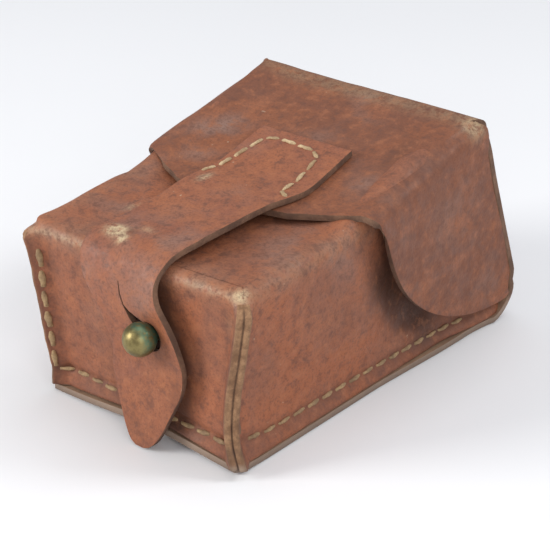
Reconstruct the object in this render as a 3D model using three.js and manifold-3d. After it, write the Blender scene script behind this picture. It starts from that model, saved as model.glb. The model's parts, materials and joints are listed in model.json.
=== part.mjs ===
// Selenium light meter in its stitched leather belt case.
// The case lies on its back: +Z is up through the front of the case, +Y runs from the end that
// carries the brass stud to the hinged end of the lid, and X is the width. Millimetres.
// Every piece is one closed solid in its own named mesh.
import * as THREE from "three";
import { mergeVertices } from "three/addons/utils/BufferGeometryUtils.js";
import Module from "manifold-3d";

const wasm = await Module();
wasm.setup();

// ---------------------------------------------------------------- driving dimensions
const LEATHER = 2.0; // thickness of every leather piece
const GAP = 0.35; // air kept between pieces that touch on the real object

const STUD_END = -56.2; // outer edge of the sewn rim at the stud end
const RIM_TOP = 3.9; // top of the sewn rim's cut edge
const RIM_HALF_NARROW = 31.0; // half width of the rim at the stud end
const RIM_HALF_WIDE = 34.2; // half width of the rim from RIM_WIDE_FROM on
const RIM_WIDE_FROM = 20.0;
const FLARE = 1.8; // how far the wall flares out to the rim
const FLARE_TOP = 6.0;
const BODY_HALF = 32.6; // half width of the body at the top
const BODY_TOP = 45.0; // height of the body at the stud end
const BODY_BREAK_Y = -12.0; // where the front panel starts to climb
const BODY_BREAK_Z = 47.2;
const BODY_MOUTH_Z = 57.1;
const EDGE_R = 3.6; // softened folds along the top of the body

const LEAN = 0.3865; // mm of y for each mm of height on the lid's end panel
const LID_PEAK_Y = 31.5; // outer top edge of the lid's end panel
const LID_PEAK_Z = 60.7;
const LID_HALF = 35.0; // half width over the lid's ears
const LID_BREAK_Z = 49.9; // lid's outer face above BODY_BREAK_Y
const LID_FRONT_Z = 49.2; // lid's outer face at its front edge
const LID_FRONT_Y = -24.0;
const HINGE_Z = LEATHER; // fold line between back panel and lid, on the inner faces

const STRAP_LEFT = -13.0;
const STRAP_RIGHT = 15.5;
const STRAP_SEWN_END = 6.0;
const STRAP_BEND_Y = -50.7; // fold line of the free tongue
const STRAP_BEND_Z = 47.3;
const TONGUE_Y = -57.6; // inner face of the hanging tongue

const STUD_X = 7.5;
const STUD_Z = 29.5;
const STUD_BALL_R = 3.95;
const STUD_BALL_OUT = 7.4; // from the wall to the middle of the ball

const METER_HALF = 27.0; // half width of the meter's housing
const METER_START = -49.8;
const METER_BOTTOM = 3.2;
const METER_TOP = 40.4;
const METER_WALL = 2.2;
const METER_HEAD_Z = 51.0; // top edge of the head that holds the cell
const COVER = 2.0; // thickness of the front cover

// height at which the wall leans: the lid's end panel, its outer face, at height z
const endOuter = (z) => LID_PEAK_Y + (LID_PEAK_Z - z) * LEAN;
const LEAN_ANGLE = Math.atan(LEAN);
const endInner = (z) => endOuter(z) - LEATHER / Math.cos(LEAN_ANGLE);
const mouthAt = (z) => endInner(z) - GAP - 0.25;
const METER_FACE_BACK = 3.4; // from the case's mouth back to the meter's end face
const meterEnd = (z) => mouthAt(z) - METER_FACE_BACK;
const HINGE_Y = endInner(HINGE_Z);

// ---------------------------------------------------------------- solids and meshes
function solidOf(geometry) {
  const bare = new THREE.BufferGeometry();
  bare.setAttribute("position", geometry.getAttribute("position"));
  if (geometry.index) bare.setIndex(geometry.index);
  const merged = mergeVertices(bare, 1e-4);
  const solid = new wasm.Manifold(
    new wasm.Mesh({
      numProp: 3,
      vertProperties: new Float32Array(merged.attributes.position.array),
      triVerts: new Uint32Array(merged.index.array),
    }),
  );
  return solid;
}

function geometryOf(solid) {
  const mesh = solid.getMesh();
  const geometry = new THREE.BufferGeometry();
  const points = new Float32Array(mesh.numVert * 3);
  for (let i = 0; i < mesh.numVert; i++) {
    for (let k = 0; k < 3; k++) {
      points[3 * i + k] = mesh.vertProperties[i * mesh.numProp + k];
    }
  }
  geometry.setAttribute("position", new THREE.BufferAttribute(points, 3));
  geometry.setIndex(new THREE.BufferAttribute(new Uint32Array(mesh.triVerts), 1));
  geometry.computeVertexNormals();
  return geometry;
}

// Materials by name: colour, roughness and metalness of each kind of surface.
const material = (color, roughness, metalness = 0) =>
  new THREE.MeshStandardMaterial({ color, roughness, metalness });
const MATERIALS = {
  leather: material(0x9a5a3a, 0.6),
  strap: material(0xa5623f, 0.6),
  thread: material(0xa98a55, 0.85),
  stud: material(0x8a7a3c, 0.38, 0.9),
  bakelite: material(0x17130f, 0.32),
  plate: material(0xb9b6ae, 0.4, 0.9),
  steel: material(0x8d9094, 0.35, 1.0),
  glass: material(0xdfe8e6, 0.08),
  cell: material(0x3b3f4c, 0.25, 0.4),
  print: material(0xe6e0cc, 0.7),
  copper: material(0xa8552a, 0.4, 0.9),
};

const object = new THREE.Group();

function add(name, solid, kind, parent = object) {
  const geometry = solid.isBufferGeometry ? solid : geometryOf(solid);
  const mesh = new THREE.Mesh(geometry, MATERIALS[kind]);
  mesh.name = name;
  parent.add(mesh);
  return mesh;
}

// An outline as a THREE.Shape from a list of [a, b] corners.
function outline(corners) {
  return new THREE.Shape(corners.map(([a, b]) => new THREE.Vector2(a, b)));
}

function extruded(shape, depth, curveSegments = 16) {
  return new THREE.ExtrudeGeometry(shape, { depth, bevelEnabled: false, curveSegments });
}

// A prism whose [y, z] outline runs along X from x0 to x1.
function prismX(corners, x0, x1) {
  const basis = new THREE.Matrix4().makeBasis(
    new THREE.Vector3(0, 1, 0),
    new THREE.Vector3(0, 0, 1),
    new THREE.Vector3(1, 0, 0),
  );
  const geometry = extruded(outline(corners), x1 - x0).applyMatrix4(basis);
  return solidOf(geometry.translate(x0, 0, 0));
}

// A prism whose [x, z] outline runs along Y from y0 to y1.
function prismY(corners, y0, y1) {
  const geometry = extruded(outline(corners), y1 - y0);
  return solidOf(geometry.rotateX(Math.PI / 2).translate(0, y1, 0));
}

// A prism whose [x, y] outline runs along Z from z0 to z1.
function prismZ(corners, z0, z1) {
  return solidOf(extruded(outline(corners), z1 - z0).translate(0, 0, z0));
}

function box(x0, x1, y0, y1, z0, z1) {
  const geometry = new THREE.BoxGeometry(x1 - x0, y1 - y0, z1 - z0);
  return solidOf(geometry.translate((x0 + x1) / 2, (y0 + y1) / 2, (z0 + z1) / 2));
}

// A cylinder along Z, or along Y with its mouth at y0.
function cylinderZ(x, y, z0, z1, r, sides = 32) {
  const geometry = new THREE.CylinderGeometry(r, r, z1 - z0, sides).rotateX(Math.PI / 2);
  return solidOf(geometry.translate(x, y, (z0 + z1) / 2));
}

function cylinderY(x, z, y0, y1, r, sides = 24) {
  const geometry = new THREE.CylinderGeometry(r, r, y1 - y0, sides);
  return solidOf(geometry.translate(x, (y0 + y1) / 2, z));
}

// Corners of a rectangle with rounded corners, [a, b] from its lowest to its highest values.
function roundedRect(a0, a1, b0, b1, r, steps = 4) {
  const corners = [];
  const centres = [
    [a1 - r, b1 - r, 0],
    [a0 + r, b1 - r, 1],
    [a0 + r, b0 + r, 2],
    [a1 - r, b0 + r, 3],
  ];
  for (const [a, b, quarter] of centres) {
    for (let i = 0; i <= steps; i++) {
      const t = ((quarter + i / steps) * Math.PI) / 2;
      corners.push([a + r * Math.cos(t), b + r * Math.sin(t)]);
    }
  }
  return corners;
}

// A closed solid through rings of equally many [x, y, z] points. Each ring runs up one side and
// down the other, and the two ends are closed with rungs between matching points.
function loft(rings) {
  const n = rings[0].length;
  const points = rings.flat();
  const index = [];
  for (let i = 0; i + 1 < rings.length; i++) {
    for (let k = 0; k < n; k++) {
      const a = i * n + k;
      const b = i * n + ((k + 1) % n);
      index.push(a, b, b + n, a, b + n, a + n);
    }
  }
  const last = (rings.length - 1) * n;
  for (let k = 0; k + 1 < n / 2; k++) {
    const m = n - 1 - k;
    index.push(k + 1, k, m, k + 1, m, m - 1);
    index.push(last + k, last + k + 1, last + m, last + k + 1, last + m - 1, last + m);
  }
  const build = (order) => {
    const geometry = new THREE.BufferGeometry();
    geometry.setAttribute("position", new THREE.Float32BufferAttribute(points.flat(), 3));
    geometry.setIndex(order);
    return solidOf(geometry);
  };
  const solid = build(index);
  if (solid.volume() > 0) return solid;
  const turned = [];
  for (let i = 0; i < index.length; i += 3) turned.push(index[i], index[i + 2], index[i + 1]);
  return build(turned);
}

// A waxed thread lying along a line of [x, y, z] points.
function threadAlong(points, radius = 0.45, stepsEach = 2) {
  const curve = new THREE.CatmullRomCurve3(
    points.map((p) => new THREE.Vector3(...p)),
    false,
    "centripetal",
  );
  const section = new THREE.Shape().absarc(0, 0, radius, 0, 2 * Math.PI);
  return new THREE.ExtrudeGeometry(section, {
    extrudePath: curve,
    steps: (points.length - 1) * stepsEach,
    curveSegments: 3,
    bevelEnabled: false,
  });
}

// ---------------------------------------------------------------- the leather case
const lerp = THREE.MathUtils.lerp;
const clamp01 = (t) => THREE.MathUtils.clamp(t, 0, 1);

// Half width of the sewn rim at y: the base is narrower at the stud end.
function rimHalf(y) {
  return lerp(RIM_HALF_NARROW, RIM_HALF_WIDE, clamp01((y - STUD_END) / (RIM_WIDE_FROM - STUD_END)));
}

// Height of the body's front panel at y.
function bodyTop(y) {
  const level = clamp01((y - STUD_END) / (BODY_BREAK_Y - STUD_END));
  const climb = clamp01((y - BODY_BREAK_Y) / (mouthAt(BODY_MOUTH_Z) - BODY_BREAK_Y));
  return lerp(BODY_TOP, BODY_BREAK_Z, level) + (BODY_MOUTH_Z - BODY_BREAK_Z) * climb;
}

// One cross-section of the body, as a closed ring. thin is how far it lies inside the outer face,
// drop lowers the top (for the soft fold above the stud) and yOf gives y for each height.
function bodyRing(y, thin, drop, yOf) {
  const top = bodyTop(y) - drop - thin;
  const half = BODY_HALF - thin;
  const rim = rimHalf(y);
  const r = Math.max(EDGE_R - thin, 0.8);
  const right = [];
  if (thin === 0) {
    right.push([rim, LEATHER + GAP], [rim, RIM_TOP], [rim - FLARE, FLARE_TOP]);
  } else {
    right.push([rim - FLARE - thin, -2], [rim - FLARE - thin, RIM_TOP], [rim - FLARE - thin, FLARE_TOP]);
  }
  const steps = 4;
  for (let i = 0; i <= steps; i++) {
    const t = ((i / steps) * Math.PI) / 2;
    right.push([half - r + r * Math.cos(t), top - r + r * Math.sin(t)]);
  }
  const left = right.map(([x, z]) => [-x, z]).reverse();
  return [...right, ...left].map(([x, z]) => [x, yOf(z), z]);
}

// Outer face of the wall that carries the stud, at height z.
function studWall(z) {
  if (z <= RIM_TOP) return STUD_END;
  if (z <= FLARE_TOP) return lerp(STUD_END, STUD_END + FLARE, (z - RIM_TOP) / (FLARE_TOP - RIM_TOP));
  return lerp(STUD_END + FLARE, STUD_END, (z - FLARE_TOP) / (BODY_TOP - FLARE_TOP));
}

// A point of a corner seam at height z. The seam's two layers stand out along the diagonal: along
// runs outwards and across runs from the stud's wall to the side wall.
function ridgePoint(side, z, along, across) {
  const t = clamp01((z - LEATHER) / (BODY_TOP - LEATHER));
  const x = lerp(RIM_HALF_NARROW - 2.0, BODY_HALF - 2.0, t);
  const y = lerp(STUD_END + 1.9, STUD_END + 1.4, t);
  const s = Math.SQRT1_2;
  return [side * (x + s * along + s * across), y - s * along + s * across, z];
}

// A stitched corner ridge: the edges of two walls, laid face to face and turned outwards.
function cornerRidge(side) {
  const ring = (z) => [
    ridgePoint(side, z, -2.5, -LEATHER),
    ridgePoint(side, z, 3.0, -LEATHER),
    ridgePoint(side, z, 3.0, LEATHER),
    ridgePoint(side, z, -2.5, LEATHER),
  ];
  return loft([ring(LEATHER + GAP), ring(20), ring(41.5)]);
}

function caseBody() {
  const mouth = (z) => mouthAt(z);
  const stations = [-45, -30, BODY_BREAK_Y, 5, RIM_WIDE_FROM];
  const outer = loft([
    bodyRing(STUD_END, 0, EDGE_R * 0.9, (z) => studWall(z)),
    bodyRing(STUD_END + 1.2, 0, EDGE_R * 0.3, (z) => Math.max(studWall(z) + 0.6, STUD_END + 1.2)),
    bodyRing(STUD_END + 3.8, 0, 0, () => STUD_END + 3.8),
    ...stations.map((y) => bodyRing(y, 0, 0, () => y)),
    bodyRing(mouthAt(BODY_MOUTH_Z), 0, 0, mouth),
  ]);
  const inside = (y, yOf) => bodyRing(y, LEATHER, 0, yOf);
  const inner = loft([
    inside(STUD_END + 2.2, (z) => Math.max(studWall(z), studWall(FLARE_TOP) - 1.6) + LEATHER),
    ...[-50, -30, BODY_BREAK_Y, 5, RIM_WIDE_FROM].map((y) => inside(y, () => y)),
    inside(mouthAt(BODY_MOUTH_Z), (z) => mouthAt(z) + 8),
  ]);
  const studHole = cylinderY(STUD_X, STUD_Z, STUD_END - 4, STUD_END + 8, 1.8, 20);
  return outer.add(cornerRidge(1)).add(cornerRidge(-1)).subtract(inner).subtract(studHole);
}

function backPanel() {
  const inset = 0.25;
  const end = HINGE_Y - 3 * GAP;
  const corner = 2.0;
  const half = (y) => rimHalf(y) - inset;
  const right = [
    [half(STUD_END) - corner, STUD_END + inset],
    [half(STUD_END), STUD_END + inset + corner],
    [half(RIM_WIDE_FROM), RIM_WIDE_FROM],
    [half(RIM_WIDE_FROM), end],
  ];
  const left = right.map(([x, y]) => [-x, y]).reverse();
  return prismZ([...right, ...left], 0, LEATHER);
}

// Outline of the lid seen from the side: end panel, top panel and flatter front edge.
function lidProfile(thin) {
  const slope = (LID_PEAK_Z - LID_BREAK_Z) / (LID_PEAK_Y - BODY_BREAK_Y);
  const slopeThin = thin * Math.hypot(1, slope);
  const flat = (LID_BREAK_Z - LID_FRONT_Z) / (BODY_BREAK_Y - LID_FRONT_Y);
  const peakZ = LID_PEAK_Z - thin * 1.25;
  const peakY = endOuter(peakZ) - thin * Math.hypot(1, LEAN);
  const far = 12;
  const soft = thin > 0 ? 0.4 : 1; // the fold is tighter on the inside
  return [
    [LID_FRONT_Y - far, LID_FRONT_Z - flat * far - thin],
    [BODY_BREAK_Y, LID_BREAK_Z - slopeThin],
    [peakY - 3.0 * soft, peakZ - 3.0 * soft * slope],
    [peakY - 0.6 * soft, peakZ - 0.5 * soft],
    [peakY + 1.1 * soft, peakZ - 2.9 * soft],
    [endOuter(HINGE_Z) - thin * Math.hypot(1, LEAN), HINGE_Z],
    [endOuter(HINGE_Z - 6) - thin * Math.hypot(1, LEAN), HINGE_Z - 6],
  ];
}

// The rounded flap at each side of the lid, [y, z].
const EAR = [
  [-9.4, 45.3],
  [-7.2, 39.8],
  [-3.6, 32.8],
  [0.8, 26.1],
  [7.5, 19.7],
  [15.2, 14.5],
  [23.1, 10.6],
  [30.6, 8.4],
  [38.7, 7.2],
  [46.5, 7.0],
];

function lidLeather() {
  const bottom = 1.0;
  const closed = (profile) => [
    ...profile,
    [profile.at(-1)[0], -20],
    [profile[0][0], -20],
  ];
  const outer = prismX(closed(lidProfile(0)), -LID_HALF, LID_HALF);
  const inner = prismX(closed(lidProfile(LEATHER)), LEATHER - LID_HALF, LID_HALF - LEATHER);
  const shell = outer.subtract(inner);
  // Keep the front panel in front, the ears at the sides and the end panel at the back.
  const sideRegion = prismX(
    [...EAR, [endOuter(7.0) + 9, 7.0], [90, 7.0], [90, 90], [BODY_BREAK_Y, 90], [BODY_BREAK_Y, 49]],
    -60,
    60,
  );
  const plan = [
    [-60, BODY_BREAK_Y],
    [-LID_HALF, BODY_BREAK_Y],
    [-17, LID_FRONT_Y + 1.2],
    [-12, LID_FRONT_Y],
    [12, LID_FRONT_Y],
    [18, LID_FRONT_Y + 1.4],
    [LID_HALF, BODY_BREAK_Y],
    [60, BODY_BREAK_Y],
    [60, 90],
    [-60, 90],
  ].reverse();
  const frontRegion = prismZ(plan, 40, 90).intersect(
    box(LEATHER - LID_HALF, LID_HALF - LEATHER, -60, 90, 40, 90),
  );
  const endRegion = box(-LID_HALF, LID_HALF, HINGE_Y - 30, 90, bottom, 90).intersect(
    prismX(
      [
        [HINGE_Y, HINGE_Z + GAP],
        [HINGE_Y + 20, HINGE_Z + GAP],
        [HINGE_Y + 20, 90],
        [endInner(90) - 0.2, 90],
        [endInner(HINGE_Z + GAP) - 0.2, HINGE_Z + GAP],
      ],
      -60,
      60,
    ),
  );
  return shell.intersect(sideRegion.add(frontRegion).add(endRegion));
}

function strapProfile(side) {
  // side 0 is the face against the lid, side 1 the outer face.
  const slope = (LID_PEAK_Z - LID_BREAK_Z) / (LID_PEAK_Y - BODY_BREAK_Y);
  const lift = GAP + side * LEATHER;
  const onLid = (y) => LID_BREAK_Z + (y - BODY_BREAK_Y) * slope + lift;
  return [
    [STRAP_SEWN_END, onLid(STRAP_SEWN_END)],
    [BODY_BREAK_Y + 0.5, onLid(BODY_BREAK_Y + 0.5)],
    [LID_FRONT_Y + 0.5, LID_FRONT_Z + lift + 0.1],
    [LID_FRONT_Y - 6, LID_FRONT_Z - 1.0 + side * LEATHER],
    [STRAP_BEND_Y + 5, STRAP_BEND_Z - 1 + side * LEATHER],
    [STRAP_BEND_Y + GAP, STRAP_BEND_Z - 1 + side * LEATHER],
  ];
}

function strapBase() {
  return prismX([...strapProfile(1).reverse(), ...strapProfile(0)], STRAP_LEFT, STRAP_RIGHT);
}

// Outline of the hanging tongue seen from the stud end, [x, z]: it swings towards the stud and
// ends in a rounded tip.
const TONGUE = [
  [STRAP_LEFT, 46],
  [STRAP_LEFT, 41],
  [-10.3, 34.6],
  [-6.2, 27],
  [-4.2, 21],
  [-4.6, 12],
  [-3.4, 6.5],
  [-0.6, 2.6],
  [3.6, 0.7],
  [8.0, 1.6],
  [11.4, 5.0],
  [15.0, 12.0],
  [18.0, 20.0],
  [18.6, 26.0],
  [17.2, 31.5],
  [14.2, 37.0],
  [13.4, 41],
  [STRAP_RIGHT - 1, 46],
];

function strapTongue() {
  const reach = 60;
  const outerY = TONGUE_Y - LEATHER;
  const low = STRAP_BEND_Z - 1;
  const high = low + LEATHER;
  const bent = [
    [STRAP_BEND_Y, low],
    [TONGUE_Y + 3.2, low],
    [TONGUE_Y + 0.9, low - 0.9],
    [TONGUE_Y, low - 3.2],
    [TONGUE_Y, -5],
    [outerY, -5],
    [outerY, high - 5.0],
    [outerY + 1.5, high - 1.5],
    [outerY + 5.0, high],
    [STRAP_BEND_Y, high],
  ];
  const front = [
    ...TONGUE,
    [STRAP_RIGHT, 46.2],
    [STRAP_RIGHT, reach],
    [STRAP_LEFT, reach],
  ];
  const sheet = prismX(bent, STRAP_LEFT - 10, STRAP_RIGHT + 10);
  const swing = 2.0; // room for the ball as the tongue swings off the stud
  const hole = cylinderY(STUD_X, STUD_Z, -70, -50, STUD_BALL_R + 0.5).add(
    cylinderY(STUD_X, STUD_Z - swing, -70, -50, STUD_BALL_R + 0.5),
  );
  const slit = prismY(
    [
      [STUD_X - 3.9, STUD_Z + 1.5],
      [STUD_X + 0.5, STUD_Z + 3.5],
      [-1.5, 36.0],
      [-2.5, 40.0],
      [-3.1, 40.0],
      [-2.3, 35.0],
    ],
    -70,
    -50,
  );
  return sheet.intersect(prismY(front, -70, -40)).subtract(hole).subtract(slit);
}

// The brass stud: base flange, neck and ball, bored for its screw. Turned about Y.
function studKnob() {
  const wall = studWall(STUD_Z);
  const base = 1.0;
  const bore = 1.7;
  const neck = 2.1;
  const ballAt = STUD_BALL_OUT;
  const profile = [[bore, 0.3], [4.0, 0.3], [4.0, base], [neck, base + 0.4]];
  const start = Math.asin(neck / STUD_BALL_R);
  for (let i = 0; i <= 10; i++) {
    const t = start + ((Math.PI - start) * i) / 10;
    profile.push([STUD_BALL_R * Math.sin(t), ballAt - STUD_BALL_R * Math.cos(t)]);
  }
  profile.at(-1)[0] = 0;
  profile.push([0, 4.6], [bore, 4.6], [bore, 0.3]);
  const points = profile.map(([r, h]) => new THREE.Vector2(r, h));
  const knob = solidOf(new THREE.LatheGeometry(points, 28));
  const upright = knob.volume() > 0 ? knob : solidOf(new THREE.LatheGeometry(points.reverse(), 28));
  return upright.rotate([180, 0, 0]).translate([STUD_X, wall, STUD_Z]);
}

function buildCase() {
  add("case_body", caseBody(), "leather");
  add("back_panel", backPanel(), "leather");
  add("lid_leather", lidLeather(), "leather");
  add("strap_base", strapBase(), "strap");
  add("strap_tongue", strapTongue(), "strap");

  add("stud_knob", studKnob(), "stud");
  const inner = studWall(STUD_Z) + LEATHER;
  const washer = cylinderY(STUD_X, STUD_Z, inner + 0.35, inner + 0.75, 4.4).subtract(
    cylinderY(STUD_X, STUD_Z, inner, inner + 2, 1.75),
  );
  add("stud_washer", washer, "stud");
  const head = cylinderY(STUD_X, STUD_Z, inner + 1.05, inner + 1.95, 3.4);
  const shank = cylinderY(STUD_X, STUD_Z, inner - 5.8, inner + 1.4, 1.35);
  const slot = box(STUD_X - 5, STUD_X + 5, inner + 1.6, inner + 3, STUD_Z - 0.4, STUD_Z + 0.4);
  add("stud_screw", head.add(shank).subtract(slot), "stud");

  // Waxed thread: one run in each seam.
  const above = GAP + 0.5;
  const wallX = (y) => rimHalf(y) - FLARE * 0.45 + above * 0.7;
  const seamZ = RIM_TOP + 0.9 + above * 0.7;
  for (const [side, label] of [[1, "right"], [-1, "left"]]) {
    const run = [-52, -35, -15, 5, 20, 32].map((y) => [side * wallX(y), y, seamZ]);
    add(`thread_side_${label}`, threadAlong(run, 0.45, 3), "thread");
    const ridge = [8, 18, 28, 39].map((z) => ridgePoint(side, z, 0.8, -LEATHER - above));
    add(`thread_corner_${label}`, threadAlong(ridge, 0.45, 3), "thread");
  }
  const endRun = [-25.5, -9, 9, 25.5].map((x) => [x, STUD_END + FLARE * 0.45 - above * 0.7, seamZ]);
  add("thread_end", threadAlong(endRun, 0.45, 2), "thread");

  const slope = (LID_PEAK_Z - LID_BREAK_Z) / (LID_PEAK_Y - BODY_BREAK_Y);
  const onStrap = (y) => LID_BREAK_Z + (y - BODY_BREAK_Y) * slope + 2 * GAP + LEATHER + 0.5;
  const box4 = [[-10.6, -19], [-10.6, -8], [-9.6, 3], [0, 3], [10.6, 3], [11, -8], [11, -19]];
  const strapRun = box4.map(([x, y]) => [x, y, Math.max(onStrap(y), LID_FRONT_Z + LEATHER + 1.6)]);
  add("thread_strap", threadAlong(strapRun, 0.45, 3), "thread");
}

// ---------------------------------------------------------------- the light meter
const HEAD_BREAK_Y = -12.0;
const HEAD_ANGLE = Math.atan((METER_HEAD_Z - METER_TOP) / (meterEnd(METER_HEAD_Z) - HEAD_BREAK_Y));

// Outline of the meter from the side, drawn in by thin on every face.
function meterProfile(thin, topThin) {
  const slopeThin = topThin / Math.cos(HEAD_ANGLE);
  const end = (z) => meterEnd(z) - thin * Math.hypot(1, LEAN);
  const low = METER_BOTTOM + thin;
  const high = METER_HEAD_Z - slopeThin - thin * 0.2;
  return [
    [METER_START + thin, low],
    [end(low), low],
    [end(high), high],
    [HEAD_BREAK_Y, METER_TOP - slopeThin],
    [METER_START + thin, METER_TOP - topThin],
  ];
}

function roundedAlongX(corners, half, r) {
  const ends = roundedRect(-half, half, METER_BOTTOM, METER_HEAD_Z + 8, r, 3);
  return prismX(corners, -half, half).intersect(prismY(ends, -80, 80));
}

const WINDOW = { x: 19.5, v: 14.5 }; // half sizes of the opening in front of the cell
const SCALE_WINDOW = { x: 18, v0: -4.5, v1: 9.5 };
const DIAL = { y: -31, r: 16.5 };
const LOCK = { x: 20.5, y: -42.5 };

// A group whose X and Y lie in a tilted face, with Z pointing out of it.
function tilted(y, z, angle, parent = object) {
  const group = new THREE.Group();
  group.position.set(0, y, z);
  group.rotation.x = angle;
  parent.add(group);
  return group;
}

const CELL_Z = 25.0;
const CELL_ANGLE = -(Math.PI / 2 - LEAN_ANGLE);
const SCALE_Y = 6.0;
const scaleZ = METER_TOP + (SCALE_Y - HEAD_BREAK_Y) * Math.tan(HEAD_ANGLE);

// A solid given in the axes of a tilted face, moved into the object's own axes.
function fromFace(solid, y, z, angle) {
  return solid.rotate([THREE.MathUtils.radToDeg(angle), 0, 0]).translate([0, y, z]);
}

function meterHousing() {
  const body = roundedAlongX(meterProfile(0, COVER + GAP), METER_HALF, 4);
  const hollow = prismX(
    meterProfile(METER_WALL, -10),
    METER_WALL - METER_HALF,
    METER_HALF - METER_WALL,
  );
  const window = fromFace(
    box(-WINDOW.x - 1.2, WINDOW.x + 1.2, -WINDOW.v - 1.2, WINDOW.v + 1.2, -6, 6),
    meterEnd(CELL_Z),
    CELL_Z,
    CELL_ANGLE,
  );
  return body.subtract(hollow).subtract(window);
}

function meterCover() {
  const slopeThin = COVER / Math.cos(HEAD_ANGLE);
  const plate = roundedAlongX(
    [
      [METER_START, METER_TOP - COVER],
      [HEAD_BREAK_Y, METER_TOP - slopeThin],
      [meterEnd(METER_HEAD_Z - slopeThin), METER_HEAD_Z - slopeThin],
      [meterEnd(METER_HEAD_Z), METER_HEAD_Z],
      [HEAD_BREAK_Y, METER_TOP],
      [METER_START, METER_TOP],
    ],
    METER_HALF,
    4,
  );
  const window = fromFace(
    box(-SCALE_WINDOW.x, SCALE_WINDOW.x, SCALE_WINDOW.v0, SCALE_WINDOW.v1, -6, 6),
    SCALE_Y,
    scaleZ,
    HEAD_ANGLE,
  );
  const hole = (x, y, r) => cylinderZ(x, y, 30, 50, r, 20);
  return plate
    .subtract(window)
    .subtract(hole(0, DIAL.y, 2.4))
    .subtract(hole(LOCK.x, LOCK.y, 2.6))
    .subtract(hole(-20.5, -13.5, 2.1));
}

function ring(outer, inner, z0, z1, sides = 40) {
  return cylinderZ(0, 0, z0, z1, outer, sides).subtract(
    cylinderZ(0, 0, z0 - 1, z1 + 1, inner, sides),
  );
}

// The parts behind the slanted end: bezel, louvre, glass, cell, contact and backing board.
function buildCell() {
  const face = tilted(meterEnd(CELL_Z), CELL_Z, CELL_ANGLE);
  const plate = (x, v, w0, w1, r = 2) => prismZ(roundedRect(-x, x, -v, v, r, 3), w0, w1);
  const bezel = plate(WINDOW.x + 4, WINDOW.v + 4, GAP, 2.2, 3).subtract(
    plate(WINDOW.x - 0.6, WINDOW.v - 0.6, -1, 4, 1.5),
  );
  const screwAt = [
    [1, 1],
    [-1, 1],
    [-1, -1],
    [1, -1],
  ].map(([i, j]) => [i * (WINDOW.x + 1.7), j * (WINDOW.v + 1.7)]);
  const drilled = screwAt.reduce(
    (solid, [x, v]) => solid.subtract(cylinderZ(x, v, 1.2, 4, 1.5, 16)),
    bezel,
  );
  add("cell_bezel", drilled, "plate", face);
  screwAt.forEach(([x, v], i) => {
    const head = cylinderZ(x, v, 1.55, 2.5, 1.15, 12).subtract(
      box(x - 2, x + 2, v - 0.2, v + 0.2, 2.2, 3),
    );
    add(`bezel_screw_${i + 1}`, head, "steel", face);
  });

  const columns = 7;
  const rows = 5;
  let louvre = plate(WINDOW.x + 0.8, WINDOW.v + 0.8, -2.2, -0.1, 1);
  const pitchX = (2 * WINDOW.x) / columns;
  const pitchV = (2 * WINDOW.v) / rows;
  for (let i = 0; i < columns; i++) {
    for (let j = 0; j < rows; j++) {
      const x = -WINDOW.x + (i + 0.5) * pitchX;
      const v = -WINDOW.v + (j + 0.5) * pitchV;
      const cell = box(x - pitchX * 0.4, x + pitchX * 0.4, v - pitchV * 0.4, v + pitchV * 0.4, -4, 4);
      louvre = louvre.subtract(cell);
    }
  }
  add("cell_louvre", louvre, "bakelite", face);
  add("cell_glass", plate(WINDOW.x + 2, WINDOW.v + 2, -3.6, -2.6, 1), "glass", face);
  const contact = plate(WINDOW.x + 1.6, WINDOW.v + 1.6, -4.5, -4.0, 1).subtract(
    plate(WINDOW.x - 1.5, WINDOW.v - 1.5, -6, -3, 1),
  );
  add("cell_contact_frame", contact, "copper", face);
  add("selenium_cell", plate(WINDOW.x + 1, WINDOW.v + 1, -6.0, -4.9, 1), "cell", face);
  add("cell_backing_board", plate(WINDOW.x + 2, WINDOW.v + 2, -8.0, -6.4, 1), "print", face);
}

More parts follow.
